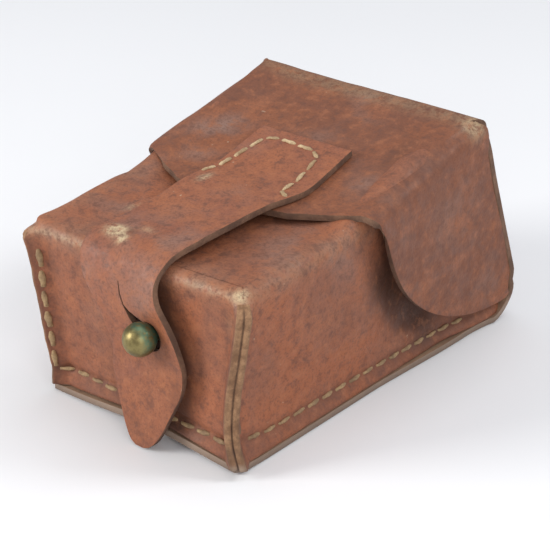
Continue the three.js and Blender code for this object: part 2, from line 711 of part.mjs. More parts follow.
// The moving-coil movement under the scale window. Its staff stands square to the scale.
const PIVOT_V = -11.0;
const POINTER_REST = THREE.MathUtils.degToRad(36);
function buildMovement() {
  const face = tilted(SCALE_Y, scaleZ, HEAD_ANGLE);
  const fixed = new THREE.Group();
  fixed.position.set(0, PIVOT_V, 0);
  face.add(fixed);
  const turned = new THREE.Group(); // what turns with the staff, at rest at the dark end
  turned.rotation.z = POINTER_REST;
  fixed.add(turned);

  const pane = box(
    GAP - SCALE_WINDOW.x,
    SCALE_WINDOW.x - GAP,
    SCALE_WINDOW.v0 + GAP,
    SCALE_WINDOW.v1 - GAP,
    -1.9,
    -0.7,
  );
  add("scale_window", pane, "glass", face);
  const scale = prismZ(roundedRect(-21, 21, -8, 12, 1.5, 2), -7.2, -6.4);
  add("scale_plate", scale, "print", face);

  const staff = cylinderZ(0, 0, -24.0, -3.4, 0.5, 12);
  add("pointer_staff", staff, "steel", turned);
  const blade = prismZ([[-0.55, 0.9], [0.55, 0.9], [0.18, 18.6], [-0.18, 18.6]], -4.9, -4.5)
    .add(prismZ([[-1.5, -5], [1.5, -5], [1.0, -0.9], [-1.0, -0.9]], -4.9, -4.5))
    .add(ring(1.6, 0.85, -4.9, -4.5, 16));
  add("pointer", blade, "bakelite", turned);
  const winding = box(-6.2, 6.2, -1.6, 1.6, -21, -9.6).subtract(
    box(-5.0, 5.0, -3, 3, -19.6, -11),
  );
  const coil = winding.subtract(cylinderZ(0, 0, -30, 0, 0.85, 16));
  add("moving_coil", coil, "copper", turned);

  const core = cylinderZ(0, 0, -19.2, -11.4, 4.4, 24).subtract(
    cylinderZ(0, 0, -30, 0, 0.9, 16),
  );
  add("movement_core", core, "steel", fixed);
  const horseshoe = cylinderZ(0, 0, -18.6, -12.0, 12.5, 40)
    .subtract(cylinderZ(0, 0, -30, 0, 7.0, 40))
    .subtract(box(-3.2, 3.2, 0, 20, -30, 0));
  add("horseshoe_magnet", horseshoe, "steel", fixed);
  const bridge = (w0, w1) =>
    prismZ(roundedRect(-11, 11, -3, 3, 2.8, 4), w0, w1).subtract(
      cylinderZ(0, 0, -40, 10, 0.9, 16),
    );
  add("upper_bridge", bridge(-9.2, -8.2), "plate", fixed);
  add("lower_bridge", bridge(-23.4, -22.4), "plate", fixed);
  const post = (x) => cylinderZ(x, 0, -22.0, -19.0, 1.3, 14);
  add("bridge_post_left", post(-9.5), "steel", fixed);
  add("bridge_post_right", post(9.5), "steel", fixed);

  // A flat spiral hairspring between the coil and the pointer.
  const turns = 3;
  const steps = 48;
  const width = 0.35;
  const inner = [];
  const outer = [];
  for (let i = 0; i <= steps; i++) {
    const t = (i / steps) * turns * 2 * Math.PI;
    const r = 1.3 + (i / steps) * 3.2;
    inner.push([(r - width / 2) * Math.cos(t), (r - width / 2) * Math.sin(t)]);
    outer.push([(r + width / 2) * Math.cos(t), (r + width / 2) * Math.sin(t)]);
  }
  add("hairspring", prismZ([...outer, ...inner.reverse()], -6.0, -5.4), "copper", turned);
}

// Calculator dial, its screw, the zero adjuster and the pointer lock on the flat part of the cover.
function buildControls() {
  const floor = METER_TOP + GAP;
  const deck = new THREE.Group();
  deck.position.set(0, DIAL.y, floor);
  object.add(deck);
  add("dial_scale_ring", ring(DIAL.r, 12.2, 0, 1.0, 48), "print", deck);
  let dial = cylinderZ(0, 0, 0, 1.7, 11.8, 48).subtract(cylinderZ(0, 0, -1, 5, 1.95, 20));
  const grips = 24;
  for (let i = 0; i < grips; i++) {
    const t = (i / grips) * 2 * Math.PI;
    dial = dial.subtract(cylinderZ(11.9 * Math.cos(t), 11.9 * Math.sin(t), 0.9, 3, 0.7, 6));
  }
  add("calculator_dial", dial, "plate", deck);
  const screw = cylinderZ(0, 0, 2.05, 2.8, 3.0, 24)
    .add(cylinderZ(0, 0, -5, 2.4, 1.6, 16))
    .subtract(box(-4, 4, -0.4, 0.4, 2.4, 4));
  add("dial_screw", screw, "steel", deck);

  const zero = cylinderZ(-20.5, -13.5, METER_TOP - 3.5, METER_TOP + 0.7, 1.75, 20).subtract(
    box(-24, -17, -13.8, -13.2, METER_TOP + 0.3, METER_TOP + 2),
  );
  add("zero_adjuster", zero, "steel");
  const stem = cylinderZ(LOCK.x, LOCK.y, METER_TOP - 4.0, METER_TOP + 2.0, 2.2, 20).add(
    cylinderZ(LOCK.x, LOCK.y, METER_TOP - 4.0, METER_TOP - COVER - 0.4, 3.1, 20),
  );
  add("lock_button", stem, "bakelite");
  const coilTurns = 4;
  const helix = [];
  for (let i = 0; i <= coilTurns * 8; i++) {
    const t = (i / 8) * 2 * Math.PI;
    const z = METER_TOP - 12 + (i / (coilTurns * 8)) * 7.3;
    helix.push([LOCK.x + 2.2 * Math.cos(t), LOCK.y + 2.2 * Math.sin(t), z]);
  }
  add("lock_spring", threadAlong(helix, 0.3, 1), "steel");
  const seat = cylinderZ(LOCK.x, LOCK.y, METER_TOP - 14.2, METER_TOP - 12.7, 3.2, 20).add(
    box(LOCK.x, 24.0, LOCK.y - 1.2, LOCK.y + 1.2, METER_TOP - 14.2, METER_TOP - 12.7),
  );
  add("lock_spring_seat", seat, "plate");
}

buildCase();
add("meter_housing", meterHousing(), "bakelite");
add("meter_front_cover", meterCover(), "bakelite");
buildCell();
buildMovement();
buildControls();

// The middle of the whole length, from the stud's ball to the foot of the lid, is put at y = 0.
const ballTip = studWall(STUD_Z) - STUD_BALL_OUT - STUD_BALL_R;
object.position.set(0, -(ballTip + endOuter(HINGE_Z + GAP)) / 2, 0);

export default object;
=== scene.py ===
"""Looks for the selenium light meter in its stitched leather belt case.

The leather is rebuilt as sheets of real thickness with cut edges, seams and separate stitches; the
meter inside keeps its CAD shapes and gets its materials here. Lengths in this file are millimetres
measured from the middle of the case's base, and place() turns them into the frame's metres.
"""

import json
import math
import random

import bmesh
import bpy
import numpy as np
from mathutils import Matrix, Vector, noise


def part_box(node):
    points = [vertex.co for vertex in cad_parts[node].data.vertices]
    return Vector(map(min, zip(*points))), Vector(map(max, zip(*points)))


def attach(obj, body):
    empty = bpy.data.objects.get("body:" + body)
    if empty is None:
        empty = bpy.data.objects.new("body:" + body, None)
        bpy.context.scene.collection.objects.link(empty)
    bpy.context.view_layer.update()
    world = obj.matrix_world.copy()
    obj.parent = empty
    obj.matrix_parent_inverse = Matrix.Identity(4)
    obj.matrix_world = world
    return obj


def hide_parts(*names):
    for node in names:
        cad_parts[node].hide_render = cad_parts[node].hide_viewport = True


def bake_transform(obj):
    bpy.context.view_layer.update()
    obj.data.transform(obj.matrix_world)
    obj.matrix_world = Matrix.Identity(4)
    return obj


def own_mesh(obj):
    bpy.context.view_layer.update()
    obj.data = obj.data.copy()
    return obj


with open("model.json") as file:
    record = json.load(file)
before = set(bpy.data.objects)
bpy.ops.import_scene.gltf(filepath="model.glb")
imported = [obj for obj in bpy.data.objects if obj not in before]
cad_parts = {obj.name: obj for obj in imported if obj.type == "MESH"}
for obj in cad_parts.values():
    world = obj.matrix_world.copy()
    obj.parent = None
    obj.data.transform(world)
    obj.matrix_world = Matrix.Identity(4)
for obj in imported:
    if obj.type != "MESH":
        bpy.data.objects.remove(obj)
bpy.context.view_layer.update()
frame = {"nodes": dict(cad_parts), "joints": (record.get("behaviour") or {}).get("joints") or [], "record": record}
random.seed(7)

# ---- driving sizes, mm
JOINTS = {j["name"]: j for j in frame["joints"]}
HINGE_Y = 52.043
SHIFT = JOINTS["lid_hinge"]["pos_m"][1] * 1000 - HINGE_Y  # from this file's y to the frame's
SHEET = 1.7  # leather thickness
STITCH_PITCH = 5.2
STITCH_FLAT = 0.72  # height of a stitch's section for its width

LID_THICK = 1.6
STRAP_THICK = 1.5
BODY_HALF = 33.0
FOLD_R = 3.4
CORNER_R = 4.2  # the moulded corners above the ridges, seen from above
RIM_LOW = 2.15
END_SEAM_Z = 6.7

STUD = (7.8, 29.7)
BALL_R = 4.05
BALL_AT = -7.35  # the ball's middle, from the wall outwards along y
NECK_R = 2.1

LID_HALF = 34.9
LID_BREAK_Y = -12.0
LEAN = 0.3865
END_OUT = 2.4  # how far the end panel bellies out


def place(points):
    """Turns this file's mm into the frame's metres."""
    out = np.array(points, float)
    out[..., 1] += SHIFT
    return out * 0.001


def smooth(t, low=0.0, high=1.0):
    t = np.clip((t - low) / (high - low), 0, 1)
    return t * t * (3 - 2 * t)


def gauss(d, width):
    return np.exp(-((d / width) ** 2))


def wobble(points, size, seed=0):
    """Smooth noise from -1 to 1 at each point; size is the width of its lumps in mm."""
    flat = np.asarray(points, float).reshape(-1, 3) / size + seed * 17.3
    values = [noise.noise(Vector(p)) for p in flat]
    return np.array(values).reshape(np.asarray(points).shape[:-1])


def xyz(x, y, z):
    return np.stack(np.broadcast_arrays(x, y, z), -1)


def around(sides):
    """Angles evenly spaced round a circle."""
    return [2 * math.pi * k / sides for k in range(sides)]


def steps(low, high, fine, coarse, zone_low=0.0, zone_high=0.0):
    """Values from low to high, fine apart within a zone at either end and coarse elsewhere."""
    parts = [low]
    while parts[-1] < high - 1e-6:
        here = parts[-1]
        near = here - low < zone_low or high - here < zone_high + coarse
        parts.append(min(high, here + (fine if near else coarse)))
    return np.array(parts)


# ---- meshes
def add_object(name, data):
    made = bpy.data.objects.new(name, data)
    bpy.context.scene.collection.objects.link(made)
    return made


def build_mesh(name, points, faces, materials, kinds=None, merge=None, turn=True):
    """A piece from points in the frame's metres.

    kinds has each face's material number, merge is how near points are joined in mm, and turn
    makes all faces look outwards.
    """
    mesh = bpy.data.meshes.new(name)
    mesh.from_pydata([tuple(p) for p in points], [], faces)
    for material in materials:
        mesh.materials.append(material)
    if kinds is not None:
        mesh.polygons.foreach_set("material_index", kinds)
    work = bmesh.new()
    work.from_mesh(mesh)
    if merge:
        bmesh.ops.remove_doubles(work, verts=work.verts, dist=merge * 0.001)
        bmesh.ops.dissolve_degenerate(work, edges=work.edges, dist=1e-6)
    if turn:
        bmesh.ops.recalc_face_normals(work, faces=work.faces)
    work.to_mesh(mesh)
    work.free()
    for polygon in mesh.polygons:
        polygon.use_smooth = True
    return add_object(name, mesh)


def patch_mesh(name, grids, materials, merge=0.02):
    """One mesh from grids of points (rows, columns, 3); grids that meet share their edge.

    Each grid comes with its material's number, or one number for each of its faces.
    """
    points, faces, kinds = [], [], []
    for grid, kind in grids:
        rows, cols = grid.shape[:2]
        start = len(points)
        points.extend(grid.reshape(-1, 3))
        kind = np.broadcast_to(kind, (rows - 1, cols - 1))
        for i in range(rows - 1):
            for j in range(cols - 1):
                a = start + i * cols + j
                faces.append((a, a + 1, a + cols + 1, a + cols))
                kinds.append(kind[i, j])
    return build_mesh(name, place(points), faces, materials, kinds, merge)


def tube_faces(rings, sides, base=0):
    """Faces between rings of points that follow one another."""
    faces = []
    for i in range(rings - 1):
        for k in range(sides):
            a = base + i * sides + k
            b = base + i * sides + (k + 1) % sides
            faces.append((a, b, b + sides, a + sides))
    return faces


def end_caps(rings, sides, base=0):
    last = base + (rings - 1) * sides
    first_cap = tuple(base + k for k in range(sides))[::-1]
    return [first_cap, tuple(last + k for k in range(sides))]


def modify(piece, kind, **settings):
    """Adds a modifier with its settings and applies it."""
    modifier = piece.modifiers.new(kind, kind)
    for key, value in settings.items():
        setattr(modifier, key, value)
    bpy.context.view_layer.update()
    graph = bpy.context.evaluated_depsgraph_get()
    mesh = bpy.data.meshes.new_from_object(piece.evaluated_get(graph), depsgraph=graph)
    piece.modifiers.clear()
    piece.data = mesh


def flip_if(piece, probe, direction):
    """Turns all faces round unless the face nearest to probe looks along direction."""
    target = Vector(place([probe])[0])
    nearest = min(piece.data.polygons, key=lambda f: (f.center - target).length_squared)
    if nearest.normal.dot(Vector(direction)) < 0:
        piece.data.flip_normals()
    return piece


def thicken(piece, thickness):
    """Gives a sheet its thickness, with the flesh side inwards and cut edges all round."""
    modify(piece, "SOLIDIFY", thickness=thickness * 0.001, offset=-1, use_rim=True,
           material_offset=1, material_offset_rim=2)


def soften(piece, width):
    """Rounds the sheet's cut edges."""
    modify(piece, "BEVEL", width=width * 0.001, segments=2, limit_method="ANGLE",
           angle_limit=math.radians(50), harden_normals=False)


def paint(piece, name, values):
    layer = piece.data.attributes.new(name, "FLOAT", "POINT")
    layer.data.foreach_set("value", np.asarray(values, np.float32))


def points_of(piece):
    """The piece's vertices in mm, measured from the middle of the case's base."""
    co = np.zeros(len(piece.data.vertices) * 3)
    piece.data.vertices.foreach_get("co", co)
    co = co.reshape(-1, 3) * 1000
    co[:, 1] -= SHIFT
    return co


# ---- materials
class Graph:
    """Short words for building one material's nodes."""

    def __init__(self, name):
        self.material = bpy.data.materials.new(name)
        self.material.use_nodes = True
        self.tree = self.material.node_tree
        self.shader = self.tree.nodes["Principled BSDF"]
        self.where = self.node("ShaderNodeTexCoord").outputs["Object"]

    def feed(self, socket, value):
        """Joins a socket to another one, or gives it a number, a vector or a colour."""
        if isinstance(value, bpy.types.NodeSocket):
            self.tree.links.new(value, socket)
        elif socket.type == "RGBA":
            socket.default_value = (*value, 1.0)
        else:
            socket.default_value = value

    def node(self, kind, values=None, **settings):
        made = self.tree.nodes.new(kind)
        for key, value in settings.items():
            setattr(made, key, value)
        for key, value in (values or {}).items():
            self.feed(made.inputs[key], value)
        return made

    def noise(self, scale, detail=4.0, rough=0.55, squeeze=None, distortion=0.0):
        where = self.where
        if squeeze:
            mapping = self.node("ShaderNodeMapping", {"Vector": where, "Scale": squeeze})
            where = mapping.outputs["Vector"]
        values = {"Vector": where, "Scale": scale, "Detail": detail, "Roughness": rough}
        made = self.node("ShaderNodeTexNoise", {**values, "Distortion": distortion})
        return made.outputs["Fac"]

    def cells(self, scale):
        made = self.node("ShaderNodeTexVoronoi", {"Vector": self.where, "Scale": scale}, feature="F1")
        return made.outputs["Distance"]

    def ramp(self, source, low, high, low_value=0.0, high_value=1.0):
        values = {"Value": source, "From Min": low, "From Max": high}
        values.update({"To Min": low_value, "To Max": high_value})
        made = self.node("ShaderNodeMapRange", values, interpolation_type="SMOOTHSTEP")
        return made.outputs["Result"]

    def maths(self, kind, a, b):
        return self.node("ShaderNodeMath", {0: a, 1: b}, operation=kind).outputs[0]

    def mix(self, amount, a, b):
        return self.node("ShaderNodeMix", {0: amount, 6: a, 7: b}, data_type="RGBA").outputs[2]

    def over(self, color, source, low, high, most, tint):
        """Lays a tint over the colour, from none to most as the source goes from low to high."""
        return self.mix(self.ramp(source, low, high, 0, most), color, tint)

    def painted(self, name):
        return self.node("ShaderNodeAttribute", attribute_name=name).outputs["Fac"]

    def bump(self, layers):
        """Stacks bumps given as (height, strength, distance in mm)."""
        below = {}
        for height, strength, distance in layers:
            values = {"Strength": strength, "Distance": distance * 0.001, "Height": height}
            made = self.node("ShaderNodeBump", {**values, **below})
            below = {"Normal": made.outputs["Normal"]}
        self.feed(self.shader.inputs["Normal"], below["Normal"])

    def finish(self, color, rough, metallic=0.0):
        for key, value in (("Base Color", color), ("Roughness", rough), ("Metallic", metallic)):
            self.feed(self.shader.inputs[key], value)
        return self.material


def leather_face(name, warm, dull):
    g = Graph(name)
    broad = g.noise(42, 5, 0.6, distortion=0.6)
    patches = g.noise(95, 6, 0.62)
    streaks = g.noise(130, 4, 0.55, squeeze=(1.0, 0.28, 1.0))
    pores = g.cells(1150)
    fine = g.noise(2600, 3, 0.6)
    color = g.mix(g.ramp(broad, 0.36, 0.66), dull, warm)
    color = g.over(color, streaks, 0.45, 0.75, 0.4, (0.36, 0.128, 0.058))
    color = g.over(color, patches, 0.55, 0.78, 0.5, (0.165, 0.078, 0.056))
    bloom = g.maths("MULTIPLY", g.painted("bloom"), g.ramp(patches, 0.38, 0.62))
    color = g.mix(bloom, color, (0.24, 0.143, 0.112))
    scuff = g.maths("MULTIPLY", g.painted("scuff"), g.ramp(g.noise(520, 5, 0.7), 0.32, 0.54))
    color = g.mix(scuff, color, (0.54, 0.41, 0.25))
    # dark brown from the painted attribute: dirt at seams and the foot, and painted shade under the right ear and
    # beside the tongue
    color = g.mix(g.painted("grime_and_shade"), color, (0.05, 0.022, 0.014))
    color = g.mix(g.ramp(pores, 0.0, 0.4, 0.4, 0.0), color, (0.13, 0.055, 0.035))
    color = g.over(color, g.noise(1500, 3, 0.7), 0.48, 0.66, 0.45, (0.11, 0.045, 0.028))
    mottle = g.noise(380, 4, 0.65)
    color = g.over(color, mottle, 0.5, 0.7, 0.65, (0.12, 0.05, 0.033))
    color = g.over(color, mottle, 0.5, 0.25, 0.45, (0.38, 0.145, 0.068))
    flecks = g.ramp(g.noise(620, 2, 0.5), 0.72, 0.78, 0, 0.7)
    flecks = g.maths("MULTIPLY", flecks, g.ramp(broad, 0.5, 0.6))
    color = g.mix(flecks, color, (0.45, 0.33, 0.23))
    rough = g.ramp(g.noise(300, 4, 0.6), 0.3, 0.7, 0.48, 0.68)
    g.bump([
        (broad, 0.35, 0.8),
        (g.noise(420, 5, 0.6), 0.35, 0.22),
        (pores, 0.5, 0.12),
        (fine, 0.3, 0.06),
    ])
    g.shader.inputs["Specular IOR Level"].default_value = 0.3
    return g.finish(color, rough)


def leather_cut(name, dark, light):
    """The fuzzy cut edge of the sheet."""
    g = Graph(name)
    fibres = g.noise(1500, 6, 0.75)
    patches = g.noise(210, 5, 0.65)
    color = g.mix(g.ramp(patches, 0.35, 0.7), dark, light)
    color = g.over(color, fibres, 0.4, 0.75, 0.6, (0.11, 0.055, 0.03))
    color = g.mix(g.painted("pale"), color, (0.42, 0.32, 0.245))
    # dark brown from the same painted attribute, which holds dirt, dark seam lines and painted shade
    color = g.mix(g.painted("grime_and_shade"), color, (0.05, 0.022, 0.014))
    g.bump([(patches, 0.4, 0.4), (fibres, 0.75, 0.25)])
    return g.finish(color, 0.85)


def leather_flesh(name):
    """The rough inner side."""
    g = Graph(name)
    fibres = g.noise(900, 6, 0.75, squeeze=(1.0, 0.5, 1.0))
    patches = g.noise(70, 5, 0.65)
    color = g.mix(g.ramp(patches, 0.3, 0.7), (0.20, 0.115, 0.07), (0.31, 0.19, 0.115))
    color = g.over(color, fibres, 0.3, 0.75, 0.5, (0.15, 0.085, 0.05))
    g.bump([(fibres, 0.6, 0.2)])
    return g.finish(color, 0.9)


def thread_material(name, light, dark):
    g = Graph(name)
    fibres = g.noise(2200, 4, 0.6)
    patches = g.noise(260, 4, 0.6)
    color = g.mix(g.ramp(patches, 0.32, 0.68), dark, light)
    color = g.over(color, fibres, 0.4, 0.75, 0.5, (0.12, 0.07, 0.04))
    g.bump([(fibres, 0.6, 0.15)])
    return g.finish(color, 0.75)


def brass_material(name):
    g = Graph(name)
    patches = g.noise(420, 5, 0.65)
    scratches = g.noise(1500, 3, 0.5, squeeze=(1.0, 1.0, 0.25))
    color = g.mix(g.ramp(patches, 0.35, 0.65), (0.16, 0.125, 0.05), (0.27, 0.22, 0.09))
    green = g.maths("MULTIPLY", g.painted("verdigris"), g.ramp(g.noise(900, 4, 0.6), 0.3, 0.6))
    color = g.mix(green, color, (0.06, 0.20, 0.145))
    rough = g.ramp(patches, 0.3, 0.7, 0.34, 0.5)
    g.bump([(patches, 0.25, 0.1), (scratches, 0.12, 0.05)])
    return g.finish(color, rough, 0.85)


def plain_material(name, color, other, rough, metallic=0.0, grain=900.0):
    """A finish with a slight change of tone and a fine texture."""
    g = Graph(name)
    broad = g.noise(160, 4, 0.6)
    fine = g.noise(grain, 4, 0.6)
    tone = g.mix(g.ramp(broad, 0.35, 0.65), color, other)
    surface = g.ramp(fine, 0.3, 0.7, max(rough - 0.06, 0.03), rough + 0.06)
    g.bump([(fine, 0.25, 0.05)])
    return g.finish(tone, surface, metallic)


def glass_material(name):
    g = Graph(name)
    smear = g.noise(120, 4, 0.6)
    g.shader.inputs["Transmission Weight"].default_value = 0.92
    g.shader.inputs["IOR"].default_value = 1.5
    return g.finish((0.86, 0.92, 0.9), g.ramp(smear, 0.4, 0.8, 0.03, 0.1))


FACE = leather_face("leather_face", (0.30, 0.099, 0.045), (0.23, 0.088, 0.05))
LID_FACE = leather_face("lid_leather_face", (0.235, 0.08, 0.036), (0.175, 0.066, 0.037))
CUT = leather_cut("leather_cut_edge", (0.19, 0.092, 0.042), (0.42, 0.235, 0.12))
WORN_CUT = leather_cut("leather_worn_edge", (0.095, 0.048, 0.03), (0.20, 0.105, 0.062))
FLESH = leather_flesh("leather_flesh_side")
STRAP_FACE = leather_face("strap_leather_face", (0.31, 0.107, 0.049), (0.245, 0.088, 0.05))
THREAD = thread_material("linen_thread", (0.36, 0.235, 0.115), (0.19, 0.115, 0.058))
# darker thread for the right corner's stitches, which sit sunk in the ridge's groove
DARK_THREAD = thread_material("dark_thread", (0.20, 0.12, 0.065), (0.10, 0.055, 0.035))
PALE_THREAD = thread_material("worn_linen_thread", (0.58, 0.43, 0.25), (0.33, 0.215, 0.11))
BRASS = brass_material("aged_brass")
LEATHER = [FACE, FLESH, CUT]
LID_LEATHER = [LID_FACE, FLESH, WORN_CUT]
STRAP_LEATHER = [STRAP_FACE, FLESH, WORN_CUT]


# ---- the body's shape
ROOT2 = math.sqrt(2)

# the corner where the walls meet, below each ridge: (z, x, y) from the foot up
RIGHT_CORNER = [(1.9, 30.4, -56.0), (8, 29.1, -56.4), (20, 29.3, -56.3), (30, 30.8, -56.0),
                (40, 32.0, -55.6), (46, 33.2, -56.3), (50, 33.4, -56.4)]
LEFT_CORNER = [(1.9, -28.4, -52.4), (8, -29.2, -52.9), (15, -29.8, -53.6), (25, -30.5, -54.4),
               (33, -31.3, -55.3), (39, -32.3, -56.1), (43.4, -33.6, -56.9), (46, -35.0, -57.8),
               (50, -35.4, -58.0)]
# the left ridge's stitches: (z, x, y)
LEFT_STITCHES = [(6.3, -28.7, -53.3), (13.1, -29.0, -53.9), (19.3, -29.2, -54.4), (24.7, -29.7, -54.8),
                 (31.5, -29.9, -55.2), (37.6, -30.3, -55.6), (39.2, -30.5, -55.7)]

# half of a ridge seen from above: way along the leather, reach outwards, distance beside its middle
RIDGE = np.array([
    (0.0, 2.15, 0.0), (0.3, 2.45, 0.3), (0.6, 2.55, 0.6), (1.3, 2.52, 1.3), (1.6, 2.42, 1.6),
    (1.85, 2.2, 1.78), (2.1, 1.9, 1.85), (3.0, 1.05, 1.83), (4.2, -0.15, 1.9), (5.2, -1.1, 2.05),
    (6.0, -1.9, 2.3), (7.0, -2.83, 2.83), (8.0, -3.54, 3.54),
])
RIDGE_WAYS = [0, .15, .3, .6, .95, 1.3, 1.6, 1.85, 2.1, 2.5, 3, 3.6, 4.2, 4.8, 5.4, 6, 6.6, 7.3]
RIDGE_EDGE = 1.9  # way from the ridge's middle to the end of its cut edge
RIDGE_TOP = 42.9  # height where that cut edge ends


def curve_through(points, t):
    """Points at the fractions t along a smooth curve through the given points."""
    points = np.asarray(points, float)
    gaps = np.linalg.norm(np.diff(points, axis=0), axis=1)
    knots = np.concatenate([[0], np.cumsum(gaps)]) / gaps.sum()
    slopes = np.gradient(points, knots, axis=0)
    out = []
    for value in np.atleast_1d(t):
        i = int(np.clip(np.searchsorted(knots, value) - 1, 0, len(knots) - 2))
        h = knots[i + 1] - knots[i]
        u = (value - knots[i]) / h
        a = (1 + 2 * u) * (1 - u) ** 2
        b = u * (1 - u) ** 2 * h
        c = u * u * (3 - 2 * u)
        d = u * u * (u - 1) * h
        out.append(a * points[i] + b * slopes[i] + c * points[i + 1] + d * slopes[i + 1])
    return np.array(out)


def corner_at(line, z):
    """x and y of a corner line at height z."""
    dense = curve_through(line, np.linspace(0, 1, 60))
    return np.interp(z, dense[:, 0], dense[:, 1]), np.interp(z, dense[:, 0], dense[:, 2])


def end_outer(z):
    """y of the lid's end panel, outer side, at height z."""
    return 31.5 + (60.7 - z) * LEAN


def mouth(z):
    return np.minimum(end_outer(z) - 2.0 * math.hypot(1, LEAN) - 0.8, 46.4 + 1.2 * (z - RIM_LOW))


def body_top(x, y):
    """Height of the front panel. It climbs towards the open end."""
    along = smooth(y, -57, -12)
    climb = np.clip((y + 13) / 43.0, 0, 1)
    side = 0.15 * x / BODY_HALF * (1 - smooth(y, -56, -10))
    return 45.4 + 1.6 * along + 9.6 * climb + side


def dent(y, z, side):
    """How far the side wall is pushed in under the front of the lid's ear."""
    across = (y - 9.0) * 0.78 + (z - 22.0) * 0.62
    along = -(y - 9.0) * 0.62 + (z - 22.0) * 0.78
    deep = 4.2 if side > 0 else 1.4
    return deep * gauss(across, 9.5) * gauss(along, 17) * smooth(z, 6, 13)


def arch(x):
    """The foot of the stud end stands a little off the table around the tongue."""
    return 2.3 * gauss(x - 4, 21)


def section(way, z, inset, inner):
    """A wall's distance along itself and outwards near a corner, and its outward direction.

    way is measured along the leather from the middle of the ridge. inset moves the leather in,
    for the fold at its top. The ridge fades out below the fold.
    """
    angle = np.minimum(way / 5.0, 1) * math.pi / 4
    round_out = CORNER_R * (np.cos(angle) - ROOT2)
    round_by = CORNER_R * np.sin(angle)
    along_t = (round_by - round_out) / ROOT2 + np.maximum(way - 5, 0) * (5 - CORNER_R) / 3
    along_t = np.where(way > 8, way - 3, along_t)
    along_o = (round_by + round_out) / ROOT2
    normal_t = (np.sin(angle) - np.cos(angle)) / ROOT2
    normal_o = (np.sin(angle) + np.cos(angle)) / ROOT2
    out = np.interp(way, RIDGE[:, 0], RIDGE[:, 1])
    by = np.interp(way, RIDGE[:, 0], RIDGE[:, 2])
    stand = 0.0 if inner else 1 - smooth(z, 40.2, 43.9)
    near = np.where(way < 8, stand, 0.0)
    t = along_t * (1 - near) + (by - out) / ROOT2 * near
    o = along_o * (1 - near) + (by + out) / ROOT2 * near
    return t - normal_t * inset, o - normal_o * inset, normal_t, normal_o


def side_seam_z(y):
    """Height of the stitches along the sides."""
    return 5.4 + 1.3 * gauss(y + 55, 7) - 0.8 * smooth(y, -10, 35)


def relief(points, way, inner, groove_z):
    """How far the leather lies outside its plain wall: rim, sewn grooves, lumps."""
    z = points[..., 2]
    rim = (0.7 + 0.7 * smooth(way, 0, 7)) * np.clip(1 - (z - RIM_LOW) / 5.0, 0, 1) ** 1.6
    if inner:
        return rim
    groove = -0.45 * gauss(z - groove_z, 0.9) * smooth(way, 3.5, 6)
    seam = -0.4 * gauss(way - 5.6, 1.1) * (1 - smooth(z, 40, 43))
    soft = 0.45 * wobble(points, 17, 3) + 0.17 * wobble(points, 6, 5)
    tip = 0.22 * wobble(points, 3.0, 8) * (1 - smooth(way, 2.0, 4.0)) * (1 - smooth(z, 40, 43))
    return rim + groove + seam + soft * smooth(z, 5, 14) + tip


def wall_rows():
    """Heights of a wall's rows as a share of the upright part, and the fold above it."""
    rows = [(t, 0.0) for t in steps(0, 1, 0.016, 0.034, 0.2, 0.16)]
    rows += [(1.0, math.pi / 2 * k / 7) for k in range(1, 8)]
    return rows


def wall_point(row, ztop, inner):
    share, angle = row
    turn = FOLD_R - (SHEET if inner else 0)
    z = RIM_LOW + share * (ztop - FOLD_R - RIM_LOW) + turn * math.sin(angle)
    inset = (SHEET if inner else 0) + turn * (1 - math.cos(angle))
    return z, inset


def side_wall(side, ways, inner):
    """Grid of points of one side wall: columns from the corner to the mouth."""
    line = RIGHT_CORNER if side > 0 else LEFT_CORNER
    far = ways[-1] - 3
    rows = []
    for row in wall_rows():
        y_flat = -55.8 + np.maximum(ways - 3, -2)
        z, inset = wall_point(row, body_top(side * 31, y_flat), inner)
        t, o, nt, no = section(ways, z, inset, inner)
        cx, cy = corner_at(line, z)
        stretch = (mouth(z) - cy - far) * np.clip((t - 5) / (far - 5), 0, 1)
        if side > 0:
            far_x = 32.5 - 2.2 * (1 - smooth(z, 5, 24)) * (1 - smooth(t, 84, 106))
        else:
            far_x = -32.5 - 3.2 * smooth(z, 22, 44)
        lean = (far_x - cx) * smooth(t, 0, 72)
        base = xyz(cx + lean + side * o, cy + t + stretch, z)
        pushed = np.where(ways > 8, dent(base[:, 1], z, side), 0)
        if inner:
            pushed = np.minimum(pushed, np.maximum(abs(base[:, 0]) - 27.2, 0))
        move = relief(base, ways, inner, side_seam_z(base[:, 1])) - pushed
        base[:, 0] += side * no * move
        base[:, 1] += nt * move
        rows.append(base)
    return np.array(rows).transpose(1, 0, 2)


def end_wall(ways, inner):
    """Grid of points of the stud end's wall: columns from the left ridge to the right one."""
    half = ways[-1]
    rows = []
    for row in wall_rows():
        parts = []
        for side in (-1, 1):
            x_flat = side * np.clip(half - ways, 0, 31)
            z, inset = wall_point(row, body_top(x_flat, -55.8), inner)
            t, o, nt, no = section(ways, z, inset, inner)
            xr, yr = corner_at(RIGHT_CORNER, z)
            xl, yl = corner_at(LEFT_CORNER, z)
            reach = (xr - xl) / 2
            stretch = (reach - (half - 3)) * np.clip((t - 5) / (half - 8), 0, 1)
            cx = xr if side > 0 else xl
            x = cx - side * (t + stretch)
            share = np.clip((xr - x) / (xr - xl), 0, 1)
            bow = 0.35 * np.sin(math.pi * share) * smooth(z, 10, 30)
            y = yr + (yl - yr) * share - bow - o
            base = xyz(x, y, z)
            move = relief(base, ways, inner, END_SEAM_Z)
            base[:, 0] -= side * nt * move
            base[:, 1] -= no * move
            base[:, 2] += arch(base[:, 0]) * (1 - smooth(z, 3, 16))
            parts.append(base)
        rows.append(np.concatenate([parts[0], parts[1][::-1][1:]]))
    return np.array(rows).transpose(1, 0, 2)


